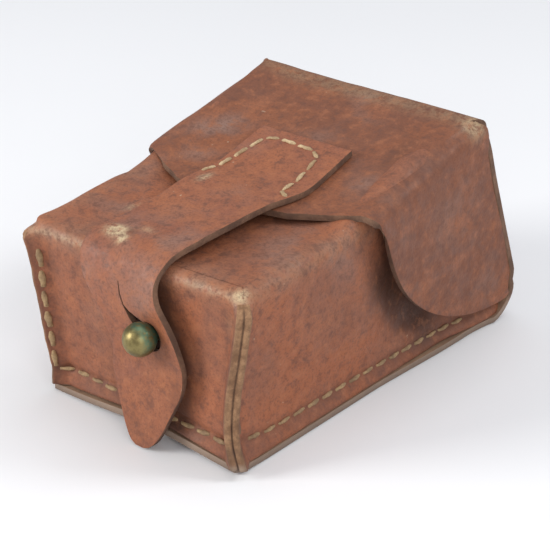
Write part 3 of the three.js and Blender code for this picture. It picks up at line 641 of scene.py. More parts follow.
def top_panel(right, left, end, inner):
    """The front panel, filled in between the folds' upper edges and the mouth."""
    s0, s1 = left[:, -1], right[:, -1]
    t0 = end[:, -1]
    share = (t0[:, 0] - t0[0, 0]) / (t0[-1, 0] - t0[0, 0])
    t1 = s0[-1] + share[:, None] * (s1[-1] - s0[-1])
    u = share[:, None, None]
    v = (s1[:, 1] - s1[0, 1]) / (s1[-1, 1] - s1[0, 1])
    v = v[None, :, None]
    across = (1 - u) * s0[None] + u * s1[None]
    along = (1 - v) * t0[:, None] + v * t1[:, None]
    corners = (1 - u) * (1 - v) * t0[0] + u * (1 - v) * t0[-1] + (1 - u) * v * t1[0] + u * v * t1[-1]
    grid = across + along - corners
    inland = smooth(np.minimum(share, 1 - share) * 64, 0, 9)[:, None]
    inland = inland * smooth(v[..., 0] * 100, 0, 9)
    low = SHEET if inner else 0.0
    plain = body_top(grid[..., 0], grid[..., 1]) - low
    grid[..., 2] = grid[..., 2] * (1 - inland) + plain * inland
    lumps = 0.4 * wobble(grid, 16, 11) + 0.12 * wobble(grid, 5, 12)
    sag = -0.9 * gauss(grid[..., 0], 20) * gauss(grid[..., 1] + 30, 22)
    grid[..., 2] += inland * (lumps * (not inner) + sag)
    return grid


def edge_strip(outer, inner, centre):
    """Cut edge between two edges of a sheet, bulging a little away from centre."""
    across = inner - outer
    ring = np.roll(outer, -1, 0) - np.roll(outer, 1, 0)
    ring[0] = outer[1] - outer[0]
    ring[-1] = outer[-1] - outer[-2]
    away = np.cross(ring, across)
    away /= np.maximum(np.linalg.norm(away, axis=1, keepdims=True), 1e-6)
    middle = (outer + inner).mean(0) / 2
    if away.mean(0) @ (middle - centre) < 0:
        away = -away
    rows = [outer]
    for share, bulge in ((0.1, 0.1), (0.3, 0.2), (0.5, 0.22), (0.7, 0.2), (0.9, 0.1)):
        rows.append(outer + across * share + away * bulge)
    rows.append(inner)
    return np.array(rows)


def raised(points):
    """How much higher the leather stands along the left front edge, most at its corner."""
    x, y, z = np.moveaxis(points, -1, 0)
    corner = 1.2 * gauss(x + 37, 7) * gauss(y + 59, 8)
    along = 0.5 * smooth(-x, 14, 30) * (1 - smooth(y, -28, -16))
    return smooth(z, 34, 44) * (corner + along)


def body_leather():
    """Front, side walls and stud end: an outer and an inner skin joined by cut edges."""
    side_ways = np.concatenate([RIDGE_WAYS, np.arange(8.0, 115.0, 1.5)])
    end_ways = np.concatenate([RIDGE_WAYS, np.linspace(8.0, 34.0, 19)])
    both_ends = np.concatenate([end_ways, end_ways[::-1][1:]])
    grids, skins = [], []
    for inner in (False, True):
        right = side_wall(1, side_ways, inner)
        left = side_wall(-1, side_ways, inner)
        end = end_wall(end_ways, inner)
        top = top_panel(right, left, end, inner)
        for grid in (right, left, end, top):
            grid[..., 2] += raised(grid)
        skins.append((right, left, end, top))
        for grid, ways in ((right, side_ways), (left, side_ways), (end, both_ends), (top, None)):
            kind = 1 if inner else 0
            if ways is not None and not inner:
                height = (grid[:-1, :-1, 2] + grid[1:, 1:, 2]) / 2
                on_edge = np.maximum(ways[:-1], ways[1:]) < RIDGE_EDGE
                kind = np.where(on_edge[:, None] & (height < RIDGE_TOP), 2, 0)
            grids.append((grid, kind))
    right, left, end, top = zip(*skins)
    edges = [[skin[:, 0] for skin in wall] for wall in (right, left, end)]
    edges += [[skin[-1] for skin in wall] for wall in (right, left)]
    edges.append([skin[:, -1] for skin in top])
    for outer, inner in edges:
        grids.append((edge_strip(outer, inner, np.array([0, 0, 25.0])), 2))
    piece = patch_mesh("body_leather", grids, LEATHER, 0.03)
    flip_if(piece, (0, -30, 46), (0, 0, 1))
    return piece


# ---- back and lid, one sheet
def rim_half(y, side):
    """Half width of the base's edge at y."""
    y = np.asarray(y, float)
    if side > 0:
        return 31.6 + 1.4 * smooth(y, -8, 30) + 1.4 * smooth(y, 34, 50)
    return 31.4 + 3.1 * smooth(y, -56, 18)


def base_end(x):
    """y of the base's edge at the stud end."""
    return -56.0 - 0.0429 * x + 0.25 * (x / 32.0) ** 2


def lid_top(y):
    """Outer height of the lid's top panel."""
    climb = 49.8 + (y - LID_BREAK_Y) * 0.228 + 0.5 * smooth(y, 8, 32)
    flat = 49.8 + (y - LID_BREAK_Y) * 0.05
    return np.where(y > LID_BREAK_Y, climb, flat)


def peak_bulge(x, z):
    """How far the rolled peak stands outside the end panel's plane."""
    return END_OUT * smooth(z, 8, 14) + (1.5 - 0.8 * x / 34.0) * smooth(z, 42, 58)


def fold_radius(s):
    """Radius of the fold between the lid's top and its ear."""
    return FOLD_FRONT_R + 0.8 * np.sin(math.pi * np.clip(s, 0, 1)) ** 2


def ear_back(x, z):
    """y of the ear's rear edge. It covers the end panel's side near the peak and leaves it below."""
    plain = end_outer(z) + peak_bulge(x, z)
    gap = 1.85 - 1.65 * smooth(z, 50, 56)
    roll = 2.0 * np.clip((z - 57.6) / 2.2, 0, 1) ** 2
    return plain - gap - roll


EAR_EDGE = np.array([
    (-11.0, 47.0), (-9.4, 44.6), (-7.0, 39.4), (-3.6, 32.6), (0.8, 25.9), (7.5, 19.4),
    (15.2, 14.0), (23.1, 10.1), (30.6, 7.5), (38.7, 6.2), (45.2, 6.0), (50.3, 7.0),
])
EAR_FRONT_Y = -13.3
PEAK_ROW_Y = 32.0
FOLD_FRONT_R = 2.8
LEFT_WIDER = 1.05


def front_half(y):
    """Half width of the lid's pointed front at y, in front of the ears."""
    return np.interp(y, [-24.2, -23.5, -22.2, -20.0, -17.4, -15.6, EAR_FRONT_Y],
                     [6.0, 11.0, 16.9, 20.5, 25.6, 28.4, LID_HALF - FOLD_FRONT_R])


def back_and_lid():
    across = np.linspace(-1, 1, 61)
    rows, sides = [], []
    for y in steps(-56, 43.0, 1.6, 1.6):
        corner = 1.3 * np.clip((-54.2 - y) / 1.8, 0, 1) ** 2
        near = 1 - smooth(y, -56, -40)
        half = np.where(across < 0, rim_half(y, -1), rim_half(y, 1)) - corner
        x = across * half
        lift = arch(x) * (1 - smooth(y, -56, -46)) * 0.9
        rows.append(xyz(x, y + (base_end(x) + 56) * near, lift))
    fold = [(44.6, 0.1), (46.3, 0.5), (47.9, 1.2), (49.3, 2.15), (50.5, 3.3), (51.4, 4.6),
            (52.1, 5.9), (52.45, 7.3), (52.4, 8.8)]
    for y, z in fold:
        half = np.interp(z, [0, 8], [34.4, 35.0])
        rows.append(xyz(across * half, y, z))
    for z in steps(10.4, 58.2, 1.5, 1.5):
        half = 35.0 - 0.5 * smooth(z, 50, 58) + np.where(across < 0, 1.3 * smooth(z, 10, 20), 0)
        x = across * half
        hollow = 0.5 * (1 - across ** 2) * gauss(z - 32, 20)
        y = end_outer(z) + peak_bulge(x, z) - hollow
        rows.append(xyz(x, y, z))
    top_half = LID_HALF - FOLD_FRONT_R
    low = rows[-1]
    high = xyz(across * top_half * np.where(across < 0, LEFT_WIDER, 1.0), PEAK_ROW_Y - 0.8 * across,
               lid_top(PEAK_ROW_Y) + 1.2 * smooth(-across, 0.62, 0.93))
    crest_y = end_outer(60.9) + peak_bulge(across * 33, 60) + 0.5
    crest = xyz(across * 33.1, crest_y, 61.5)
    for k in range(1, 7):
        t = k / 7
        row = (1 - t) ** 2 * low + 2 * t * (1 - t) * crest + t * t * high
        row[:, 0] = low[:, 0] * (1 - t * t) + high[:, 0] * t * t
        rows.append(row)
    for y in np.concatenate([np.linspace(PEAK_ROW_Y, EAR_FRONT_Y, 34), np.linspace(-13.9, -24.2, 15)]):
        s = (y - EAR_FRONT_Y) / (PEAK_ROW_Y - EAR_FRONT_Y)
        if y > EAR_FRONT_Y - 0.01:
            half = LID_HALF - fold_radius(s)
            sides.append((len(rows), float(np.clip(s, 0, 1))))
        else:
            half = float(front_half(y))
        x = across * half
        skew = -0.8 * x / top_half * smooth(y, 5, PEAK_ROW_Y)
        hump = 0.5 * gauss(y + 20, 6) * gauss(x, 16)
        crisp = 1.7 * smooth(-x, 20, 30) * smooth(y, -16, -11)
        x = x * np.where(x < 0, 1 + (LEFT_WIDER - 1) * smooth(y, -16, -12), 1.0)
        rows.append(xyz(x, y + skew, lid_top(y) + hump + crisp))
    main = np.array(rows)
    lift = smooth(main[..., 2], 12, 40)
    main[..., 2] += lift * (0.35 * wobble(main, 15, 21) + 0.1 * wobble(main, 5, 22))
    grids = [(main, 0)]
    for side in (1, -1):
        grids.append((ear(main, sides, side), 0))
    piece = patch_mesh("back_and_lid_leather", grids, LID_LEATHER, 0.03)
    flip_if(piece, (0, 10, 56), (0, 0, 1))
    thicken(piece, LID_THICK)
    soften(piece, 0.28)
    return piece


def ear(main, sides, side):
    """The flap at one side of the lid, folded down from the top panel's edge."""
    column = main.shape[1] - 1 if side > 0 else 0
    columns = []
    for index, s in sides:
        x0, y0, z0 = main[index, column]
        radius = float(fold_radius(s))
        foot_y, foot_z = curve_through(EAR_EDGE, s ** 0.85)[0]
        bend = radius * math.pi / 2
        length = bend + max(z0 - radius - foot_z, 0.3)
        line = []
        for way in np.concatenate([np.linspace(0, bend, 8), np.linspace(bend, length, 33)[1:]]):
            angle = min(way / radius, math.pi / 2)
            z = z0 - radius * (1 - math.cos(angle)) - max(way - bend, 0)
            t = way / length
            y = y0 + (foot_y - y0) * t
            hold = s ** 6
            y = y * (1 - hold) + float(ear_back(side * 34, z)) * hold if way > 0 else y0
            bulge = 0.7 * math.sin(math.pi * t) * math.sin(math.pi * min(1.0, 0.15 + s))
            push = 1.8 * (1 - s) ** 3 * smooth(t, 0, 0.6) if side > 0 else 0.0
            x = abs(x0) + radius * math.sin(angle) + bulge + push
            line.append((side * x, y, z))
        columns.append(line)
    grid = np.array(columns)
    grid[..., 0] += side * 0.3 * wobble(grid, 14, 31 + side) * smooth(56 - grid[..., 2], 4, 16)
    grid[:, 0] = main[[i for i, _ in sides], column]
    return grid


# ---- the strap and its tongue
STRAP_LINE = np.array([
    (6.2, 55.8), (2.0, 54.8), (-5.0, 53.2), (-12.0, 51.7), (-18.0, 51.5), (-24.0, 51.4),
    (-29.0, 50.9), (-35.0, 50.2), (-42.0, 49.6), (-48.0, 49.2), (-52.5, 48.8), (-56.0, 47.6),
    (-58.6, 45.3), (-60.1, 42.0), (-60.5, 38.0), (-60.2, 33.0), (-59.9, 28.0), (-59.8, 22.0),
    (-60.2, 15.0), (-60.9, 8.0), (-61.6, 3.0), (-61.9, 0.2),
])
# the strap's left and right edges (x) at fractions of its length
STRAP_EDGES = np.array([
    (0.0, -13.2, 14.7), (0.2, -12.8, 15.2), (0.28, -12.8, 13.6),
    (0.42, -12.6, 12.3), (0.52, -13.4, 11.8), (0.575, -14.2, 10.6),
    (0.62, -13.6, 10.0), (0.66, -12.0, 11.4), (0.70, -9.4, 14.0),
    (0.75, -6.6, 16.4), (0.80, -4.7, 17.6), (0.85, -4.2, 16.9),
    (0.89, -2.8, 14.9), (0.93, -1.4, 12.9), (0.96, 0.0, 11.3),
    (0.98, 1.3, 9.8), (0.993, 2.6, 8.3), (1.0, 4.0, 6.4),
])


def strap_point(t, across):
    """A point of the strap's outer face; t runs along it and across from -1 to 1."""
    line = curve_through(STRAP_LINE, t)
    stretch = np.array([30, 0.1, 0.1])  # so that the length counts most along the curve
    dense = curve_through(STRAP_EDGES * stretch, np.linspace(0, 1, 200)) / stretch
    left = np.interp(t, dense[:, 0], dense[:, 1])
    right = np.interp(t, dense[:, 0], dense[:, 2])
    x = (left + right) / 2 + across * (right - left) / 2
    y, z = line[:, 0].copy(), line[:, 1].copy()
    hanging = smooth(t, 0.56, 0.66)
    curl = 1.5 * np.clip(across, 0, 1) ** 2 * gauss(t - 0.68, 0.12)
    cup = 0.8 * across ** 2 * smooth(t, 0.5, 0.6) * (1 - smooth(t, 0.95, 1.0))
    y = y - hanging * (curl - cup * 0.4)
    arch_up = gauss(t - 0.43, 0.1) * (0.9 * np.clip(across, 0, 1) ** 2 - 0.3)
    z = z + arch_up * (1 - hanging)
    return xyz(x, y, z)


def strap_leather():
    ts = np.linspace(0, 1, 150)
    across = np.linspace(-1, 1, 30)
    T, A = np.meshgrid(ts, across, indexing="ij")
    grid = strap_point(T.ravel(), A.ravel()).reshape(*T.shape, 3)
    bumps = 0.32 * wobble(grid, 11, 41) + 0.1 * wobble(grid, 4, 42)
    hanging = smooth(T, 0.56, 0.66)
    grid[..., 2] += bumps * (1 - hanging) * smooth(T, 0.26, 0.34)
    grid[..., 1] -= bumps * hanging
    piece = patch_mesh("strap_leather", [(grid, 0)], STRAP_LEATHER)
    flip_if(piece, (0, -35, 50), (0, 0, 1))
    thicken(piece, STRAP_THICK)
    cut_keyhole(piece)
    soften(piece, 0.25)
    return piece


def prism(name, outline, y0, y1):
    """A closed prism along y from an outline of (x, z) points, to cut with."""
    n = len(outline)
    ring0 = [(x, y0, z) for x, z in outline]
    ring1 = [(x, y1, z) for x, z in outline]
    faces = [tuple(range(n)), tuple(range(2 * n - 1, n - 1, -1))]
    faces += [(i, i + n, (i + 1) % n + n, (i + 1) % n) for i in range(n)]
    return build_mesh(name, place(ring0 + ring1), faces, STRAP_LEATHER, [2] * len(faces))


def cut_keyhole(piece):
    """The round hole for the stud's neck, with the slit that opens it."""
    cx, cz = STUD
    hole = []
    for angle in around(28):
        hole.append((cx + 0.3 + 3.5 * math.cos(angle), cz - 0.5 + 3.7 * math.sin(angle)))
    slit = [
        (-1.2, 40.6), (-0.75, 37.6), (0.25, 34.9), (1.7, 32.3), (3.9, 29.6),
        (7.4, 32.0), (4.0, 33.1), (2.0, 33.9), (0.55, 35.2), (-0.35, 37.7), (-1.0, 40.6),
    ]
    for name, outline in (("hole", hole), ("slit", slit)):
        cutter = prism(name, outline, -70, -52)
        modify(piece, "BOOLEAN", operation="DIFFERENCE", solver="EXACT", object=cutter)
        bpy.data.objects.remove(cutter)


# ---- stitches
def stitch(points, faces, start, end, normal, radius, arc, lean):
    """One twisted stitch from start to end, bulging along normal and diving in at its ends."""
    rings, sides = 11, 10
    start, end, normal = (np.asarray(v, float) for v in (start, end, normal))
    along = end - start
    length = np.linalg.norm(along)
    along = along / length
    side = np.cross(normal, along)
    base = len(points)
    for t in np.linspace(0, 1, rings):
        rise = arc * math.sin(math.pi * t) ** 0.7 - 0.55 * (2 * abs(t - 0.5)) ** 6
        centre = start + along * length * t + normal * rise + side * lean * (t - 0.5)
        width = radius * (0.45 + 0.55 * math.sin(math.pi * t) ** 0.45)
        for angle in around(sides):
            strand = 1 + 0.16 * math.cos(2 * (angle - 5.0 * t))
            out = side * math.cos(angle) + normal * math.sin(angle) * STITCH_FLAT
            points.append(centre + out * width * strand)
    faces += tube_faces(rings, sides, base) + end_caps(rings, sides, base)


def stitch_row(name, line, normals, material, radius, fill, arc, lean=0.3):
    """Stitches along a line of points, one pitch apart, each a little different."""
    line, normals = np.asarray(line, float), np.asarray(normals, float)
    gaps = np.linalg.norm(np.diff(line, axis=0), axis=1)
    at = np.concatenate([[0], np.cumsum(gaps)])
    count = max(1, round(at[-1] / STITCH_PITCH))
    pitch = at[-1] / count
    points, faces = [], []
    for i in range(count):
        ends = []
        for d in ((i + (1 - fill) / 2) * pitch, (i + (1 + fill) / 2) * pitch):
            d += random.uniform(-0.2, 0.2)
            ends.append(np.array([np.interp(d, at, column) for column in line.T]))
        middle = (i + 0.5) * pitch
        normal = np.array([np.interp(middle, at, column) for column in normals.T])
        normal = normal / np.linalg.norm(normal)
        size = radius * random.uniform(0.85, 1.12)
        stitch(points, faces, *ends, normal, size, arc * random.uniform(0.7, 1.2), lean)
    return build_mesh(name, place(points), faces, [material], turn=False)


def surface_hits(piece, starts, direction):
    """Where rays from the starts (mm) meet a piece, with the normals there."""
    places, normals = [], []
    shown = piece.evaluated_get(bpy.context.evaluated_depsgraph_get())
    for start in place(starts):
        found, hit, normal, _ = shown.ray_cast(Vector(start), Vector(direction))
        if found:
            places.append(np.array(hit) * 1000 - np.array([0, SHIFT, 0]))
            normals.append(np.array(normal))
    return places, normals


def run_on(piece, way, direction, count):
    """surface_hits for points evenly spaced on the line between two places."""
    return surface_hits(piece, np.linspace(*way, count), direction)


def corner_line(line, aside, low, high, toward):
    """Points beside a ridge, a little outside the leather, from the foot up."""
    way = []
    for z in np.linspace(low, high, 30):
        x, y = corner_at(line, z)
        way.append((x + aside, -90, z) if toward == "y" else (90, y + aside, z))
    return way


def sew(body, strap):
    rows = []
    for side, label in ((1, "right"), (-1, "left")):
        starts = [(side * 60, y, side_seam_z(y)) for y in np.linspace(-51.4, 34, 60)]
        line = surface_hits(body, starts, (-side, 0, 0))
        rows.append((f"stitches_side_{label}", line, f"thread_side_{label}", THREAD, 0.52, 0.16))
    line = surface_hits(body, corner_line(LEFT_STITCHES, 0, 6.6, 39.2, "y"), (0, 1, 0))
    rows.append(("stitches_corner_left", line, "thread_corner_left", THREAD, 0.78, 0.34))
    line = surface_hits(body, corner_line(RIGHT_CORNER, 3.1, 7.4, 38.5, "x"), (-1, 0, 0))
    rows.append(("stitches_corner_right", line, "thread_corner_right", DARK_THREAD, 0.5, -0.2))
    line = run_on(body, ((-28.3, -90, END_SEAM_Z), (27.5, -90, END_SEAM_Z)), (0, 1, 0), 60)
    rows.append(("stitches_end", line, "thread_end", THREAD, 0.5, 0.1))
    for name, (line, normals), node, material, radius, arc in rows:
        row = stitch_row(name, line, normals, material, radius, 0.9, arc)
        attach(row, "case")
        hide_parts(node)
    # the three sides sewn on the lid, with a short stitch at each open corner
    corners = [(-14.2, -19.6), (-11.6, -18.2), (-10.4, -6.0), (-8.6, 3.2), (8.6, 2.0),
               (10.6, -9.0), (10.9, -18.2), (14.6, -18.6)]
    points, normals = [], []
    for (xa, ya), (xb, yb) in zip(corners, corners[1:]):
        places, directions = run_on(strap, ((xa, ya, 90), (xb, yb, 90)), (0, 0, -1), 14)
        points += places[:-1]
        normals += directions[:-1]
    row = stitch_row("stitches_strap", points, normals, PALE_THREAD, 0.56, 0.94, 0.1, 0.2)
    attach(row, "lid")
    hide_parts("thread_strap")


# ---- the stud
def stud_piece():
    """Ball stud: base flange, neck and a slightly flattened ball, turned on one axis along y."""
    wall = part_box("stud_knob")[1].y * 1000 - SHIFT
    profile = [(0.0, 0.0), (2.9, 0.0), (3.1, -0.3), (2.9, -0.8), (2.4, -1.2), (2.15, -2.0)]
    start = math.asin(NECK_R / BALL_R)
    for k in range(25):
        angle = start + (math.pi - start) * k / 24
        profile.append((BALL_R * math.sin(angle), BALL_AT + BALL_R * math.cos(angle) * 0.98))
    sides = 48
    points = []
    for r, h in profile:
        r = max(r, 0.001)
        for angle in around(sides):
            points.append((STUD[0] + r * math.cos(angle), wall + h, STUD[1] + r * math.sin(angle)))
    faces = tube_faces(len(profile), sides)
    piece = build_mesh("ball_stud", place(points), faces, [BRASS], merge=0.01)
    co = points_of(piece)
    behind = smooth(co[:, 1], wall - 7.5, wall - 4.5)
    edge = smooth(np.hypot(co[:, 0] - STUD[0], co[:, 2] - STUD[1]), 2.9, 4.0)
    upper = smooth(co[:, 2] - STUD[1] + 0.6 * (co[:, 0] - STUD[0]), -1.0, 3.0)
    paint(piece, "verdigris", np.clip(0.9 * behind + 0.7 * edge * upper, 0, 1))
    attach(piece, "case")
    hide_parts("stud_knob")
    return piece


# ---- wear, and shade, painted on the leather
def spot(co, centre, size):
    """1 at centre, falling off over size (one number or x, y, z)."""
    away = (co - np.array(centre, float)) / np.array(size, float)
    return np.exp(-(away ** 2).sum(-1))


def ridge_coordinates(x, y, z, line, way):
    """Distance beside a ridge's middle and outwards along it."""
    cx, cy = corner_at(line, z)
    beside = ((x - cx) * way + (y - cy)) / ROOT2
    beyond = ((x - cx) * way - (y - cy)) / ROOT2
    return beside, beyond


def shade_of_tongue(x, y, z):
    """Painted shade on the stud end beside the tongue's right edge, where the gap behind the tongue lies in
    shadow.
    """
    edge = np.interp(z, [0, 3, 8, 15, 22, 28, 34, 40], [9, 11, 12.8, 14.4, 13.8, 11.5, 9.0, 8.5])
    band = smooth(x, -16, 6) * (1 - smooth(x - edge, 0.5, 4.5))
    return 0.75 * band * gauss(y + 56, 3.5) * smooth(z, 2, 5) * (1 - smooth(z, 40, 45))


def spots(co, marks):
    """Marks given as (strength, centre, size), added up."""
    return sum(strength * spot(co, centre, size) for strength, centre, size in marks)


def paint_wear_and_shade(piece, scuff, grime_and_shade, bloom, pale, most_grime_and_shade):
    """Worn-through, dirty and bloomed leather with painted shade, and pale cut edges, for the materials to read.
    """
    paint(piece, "scuff", np.clip(scuff, 0, 1))
    paint(piece, "grime_and_shade", np.clip(grime_and_shade, 0, most_grime_and_shade))
    paint(piece, "bloom", np.clip(bloom, 0, 1))
    paint(piece, "pale", pale)


BODY_SCUFFS = [(1.5, (31.3, -55.8, 45), (2.0, 2.2, 1.6)), (0.5, (28.5, -58, 37), (1.5, 2, 2.5)),
               (0.8, (-18.1, -36.5, 46.7), (1.2, 2.0, 3))]
BODY_BLOOMS = [(0.6, (-20, -30, 47), (10, 16, 4)), (0.5, (24, -35, 47), (9, 15, 4))]
# painted shade in the hollow along the edge of the right ear, where the ear overhangs the wall: (y, z)
EAR_PAINTED_SHADE = [(0.75, (30, y, z), (9, 6.5, 6.5)) for y, z in ((-2.5, 29), (4, 22), (11, 15), (18, 10))]


def wear_and_shade_body(piece):
    co = points_of(piece)
    x, y, z = co.T
    top = body_top(x, y)
    near_top = gauss(z - top + 1.5, 3.0)
    fold = near_top * np.maximum(gauss(y + 56, 6), gauss(abs(x) - 32, 4))
    line = gauss(z - top + 1.6, 0.8) * gauss(y + 57, 3) * smooth(abs(x - 4), 6, 14)
    foot = np.clip(1 - (z - RIM_LOW) / 5, 0, 1)
    grime_and_shade = 0.35 * gauss(z - np.where(y < -52, END_SEAM_Z, side_seam_z(y)), 1.3) + 0.22 * foot
    end_seam = gauss(y + 57, 2) * gauss(abs(x) - 27.5, 1.6)
    # dirt along the end seam, and painted shade under the right ear's overhang and beside the tongue
    grime_and_shade += 0.3 * end_seam * (1 - near_top) + spots(co, EAR_PAINTED_SHADE) + shade_of_tongue(x, y, z)
    # a dark centre line along each ridge's seam, and darker bands along both of its sides
    for corner, way in ((RIGHT_CORNER, 1), (LEFT_CORNER, -1)):
        beside, beyond = ridge_coordinates(x, y, z, corner, way)
        on_ridge = smooth(beyond, -0.3, 0.8) * (1 - smooth(z, 41.5, 43.5))
        grime_and_shade += (0.75 * gauss(beside, 0.22) + 0.35 * gauss(abs(beside) - 2.0, 0.7)) * on_ridge
    # darker along the top of the front panel towards the lid
    grime_and_shade += 0.25 * smooth(y, LID_BREAK_Y - 4, LID_BREAK_Y + 6) * near_top
    beside, beyond = ridge_coordinates(x, y, z, RIGHT_CORNER, 1)
    bloom = 0.4 * smooth(wobble(co, 14, 51), 0.1, 0.7) + 0.15 * fold + 0.35 * line
    bloom += 0.6 * gauss(abs(beside) - 2.2, 1.0) * smooth(beyond, -1.5, 0) + spots(co, BODY_BLOOMS)
    scuff = 0.1 * fold + 0.3 * line + spots(co, BODY_SCUFFS)
    paint_wear_and_shade(piece, scuff, grime_and_shade, bloom, 0.7 * (1 - smooth(z, 2.6, 4)), 0.93)


LID_BLOOMS = [(0.8, (-24, -2, 52), (8, 12, 9)), (0.7, (25, -2, 53), (5, 6, 8)),
              (0.4, (34, 20, 40), (5, 8, 8))]
LID_GRIME = [(0.35, (24, 12, 55), (2.0, 8, 5)), (0.3, (0, -23, 49), (30, 3.5, 2))]


def wear_lid(piece):
    co = points_of(piece)
    z = co[:, 2]
    peak = spot(co, (0, 32, 60), (500, 3.0, 3.0))
    scuff = 0.3 * peak + 0.7 * spot(co, (33.5, 31.5, 59.5), 3)
    bloom = 0.5 * smooth(wobble(co, 11, 61), 0.1, 0.65) + spots(co, LID_BLOOMS)
    grime_and_shade = 0.5 * gauss(z, 2.2) + 0.3 * peak + spots(co, LID_GRIME)
    paint_wear_and_shade(piece, scuff, grime_and_shade, bloom, 0.6 * (1 - smooth(z, 2.6, 6)), 0.75)


STRAP_SCUFFS = [(2.6, (-8.4, -52.6, 49), (2.4, 1.7, 4)), (1.6, (-5.0, -54.6, 49), (1.2, 1.3, 4)),
                (0.4, (-2.0, -49.0, 49), (2.0, 1.3, 4)), (1.1, (-9.2, -21.2, 51.5), (1.0, 2.4, 4))]
STRAP_BLOOMS = [(0.7, (2, -50, 49), (14, 9, 5)), (0.3, (0, -60, 38), (14, 4, 6))]
# a darker patch on the tongue just below and right of the stud, and a small brown spot beside the bend's scuff
STRAP_DARK_SPOTS = [(0.35, (STUD[0] + 1, -60, STUD[1] - 3), (5, 4, 5)),
               (0.5, (-4.6, -51.8, 49), (1.5, 1.3, 4))]


def wear_strap(piece):
    co = points_of(piece)
    bloom = 0.45 * smooth(wobble(co, 18, 71), 0.0, 0.6) + spots(co, STRAP_BLOOMS)
    grime_and_shade = 0.2 * smooth(wobble(co, 10, 73), 0.2, 0.7) + 0.12 * (1 - smooth(co[:, 2], 20, 40))
    grime_and_shade += spots(co, STRAP_DARK_SPOTS)
    paint_wear_and_shade(piece, spots(co, STRAP_SCUFFS), grime_and_shade, bloom, np.zeros(len(co)), 0.6)


# ---- build the case
body = body_leather()
wear_and_shade_body(body)
lid = back_and_lid()
wear_lid(lid)
strap = strap_leather()
wear_strap(strap)
stud_piece()
sew(body, strap)

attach(body, "case")
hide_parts("case_body")

# two points on the back's fold at the hinge end, not used below
fold_low = place([(0, 52.0, 2.15)])[0]
fold_high = place([(0, 52.2, 6.3)])[0]
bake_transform(lid)
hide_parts("back_panel", "lid_leather")

bend_start = place([(0, -49.5, 48)])[0]
bend_end = place([(0, -56.5, 48)])[0]
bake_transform(strap)
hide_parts("strap_base", "strap_tongue")


# ---- the lock's spring
COIL_TURNS = 4
COIL_WIRE = 0.3


def lock_coil(finish):
    """The coil under the lock button, as its own piece."""
    low, high = (np.array(corner) * 1000 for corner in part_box("lock_spring"))
    cx, cy = (low[0] + high[0]) / 2, (low[1] + high[1]) / 2
    reach = (high[0] - low[0]) / 2 - COIL_WIRE
    bottom, top = low[2] + COIL_WIRE, high[2] - COIL_WIRE
    rings, sides = COIL_TURNS * 20 + 1, 8
    points = []
    for share in np.linspace(0, 1, rings):
        turn = 2 * math.pi * COIL_TURNS * share
        for angle in around(sides):
            r = reach + COIL_WIRE * math.cos(angle)
            z = bottom + (top - bottom) * share + COIL_WIRE * math.sin(angle)
            points.append((cx + r * math.cos(turn), cy + r * math.sin(turn), z))
    faces = tube_faces(rings, sides) + end_caps(rings, sides)
    piece = build_mesh("lock_coil", np.array(points) * 0.001, faces, [finish])
    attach(piece, "case")
    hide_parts("lock_spring")
    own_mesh(piece)


# ---- finishes of the CAD pieces
FINISHES = {
    "stud_brass": BRASS,
    "bakelite": plain_material("bakelite", (0.012, 0.009, 0.008), (0.022, 0.015, 0.012), 0.24),
    "bright_plate": plain_material("satin_plate", (0.50, 0.49, 0.46), (0.40, 0.39, 0.37), 0.34, 0.9),
    "steel": plain_material("turned_steel", (0.42, 0.42, 0.43), (0.30, 0.30, 0.31), 0.3, 1.0),
    "clear_glass": glass_material("clear_glass"),
    "selenium": plain_material("selenium", (0.045, 0.05, 0.075), (0.07, 0.075, 0.10), 0.28, 0.3),
    "printed_board": plain_material("cream_lacquer", (0.72, 0.67, 0.54), (0.62, 0.56, 0.43), 0.6,
                                    0.0, 1600),
    "copper": plain_material("copper", (0.48, 0.20, 0.09), (0.36, 0.14, 0.06), 0.35, 0.9),
}
lock_coil(FINISHES["steel"])
for entry in frame["record"]["subparts"]:
    node = frame["nodes"][entry["node"]]
    finish = FINISHES.get(entry["material_slot"])
    if finish is None:
        continue
    if node.data.materials:
        for i in range(len(node.data.materials)):
            node.data.materials[i] = finish
    else:
        node.data.materials.append(finish)

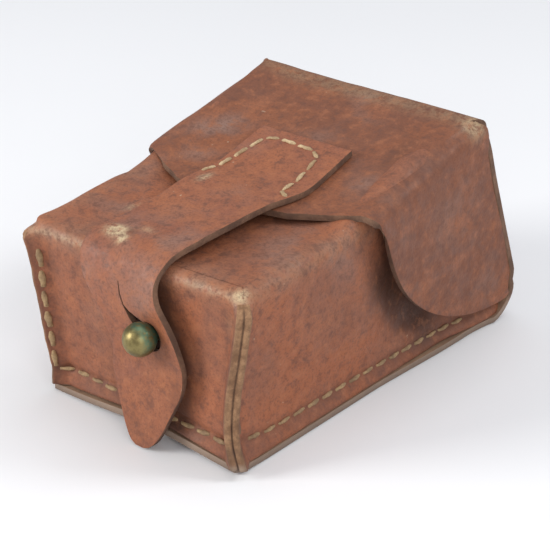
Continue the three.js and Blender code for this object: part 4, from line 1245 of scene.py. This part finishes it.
# ---- floor, light and camera
ground = Graph("pale_floor")
mottle = ground.noise(3, 3, 0.5)
shade = ground.mix(ground.ramp(mottle, 0.3, 0.7), (0.80, 0.805, 0.82), (0.83, 0.835, 0.85))
ground.finish(shade, 0.85)
bpy.ops.mesh.primitive_plane_add(size=6, location=(0, 0, -0.0003))
floor = bpy.context.object
floor.name = "floor"
floor.data.materials.append(ground.material)

world = bpy.data.worlds.new("studio")
bpy.context.scene.world = world
world.use_nodes = True
sky = world.node_tree.nodes["Background"].inputs
sky["Color"].default_value = (0.93, 0.95, 1.0, 1)
sky["Strength"].default_value = 0.48


def softbox(name, spot_at, target, size, power, color=(1, 1, 1)):
    data = bpy.data.lights.new(name, "AREA")
    data.shape = "RECTANGLE"
    data.size, data.size_y = size
    data.energy = power
    data.color = color
    lamp = add_object(name, data)
    lamp.location = spot_at
    aim = Vector(target) - Vector(spot_at)
    lamp.rotation_euler = aim.to_track_quat("-Z", "Y").to_euler()


softbox("key", (-0.55, -0.72, 0.42), (0, 0, 0.03), (0.40, 0.40), 6.9, (1.0, 0.99, 0.97))
softbox("front", (0.62, -0.56, 0.42), (0, 0, 0.02), (0.5, 0.45), 2.8)
softbox("side", (0.55, 0.42, 0.60), (0, 0, 0.02), (0.3, 0.3), 2.7)
softbox("top", (0.02, 0.15, 0.95), (0, 0, 0.03), (0.6, 0.6), 1.9, (0.97, 0.985, 1.0))

AZIMUTH, ELEVATION = math.radians(39.186), math.radians(25.45)
DISTANCE, ASIDE, ABOVE = 466.6, -3.36, 18.18
back_way = np.array([
    math.sin(AZIMUTH) * math.cos(ELEVATION),
    -math.cos(AZIMUTH) * math.cos(ELEVATION),
    math.sin(ELEVATION),
])
right_way = np.array([math.cos(AZIMUTH), math.sin(AZIMUTH), 0.0])
up_way = np.cross(back_way, right_way)
eye = place([back_way * DISTANCE + right_way * ASIDE + up_way * ABOVE])[0]
lens = bpy.data.cameras.new("camera")
lens.sensor_width = 36.0
lens.lens = 117.8
lens.clip_start = 0.01
camera = add_object("camera", lens)
camera.location = eye
camera.rotation_euler = Vector(-back_way).to_track_quat("-Z", "Y").to_euler()
bpy.context.scene.camera = camera
bpy.context.scene.view_settings.view_transform = "Standard"
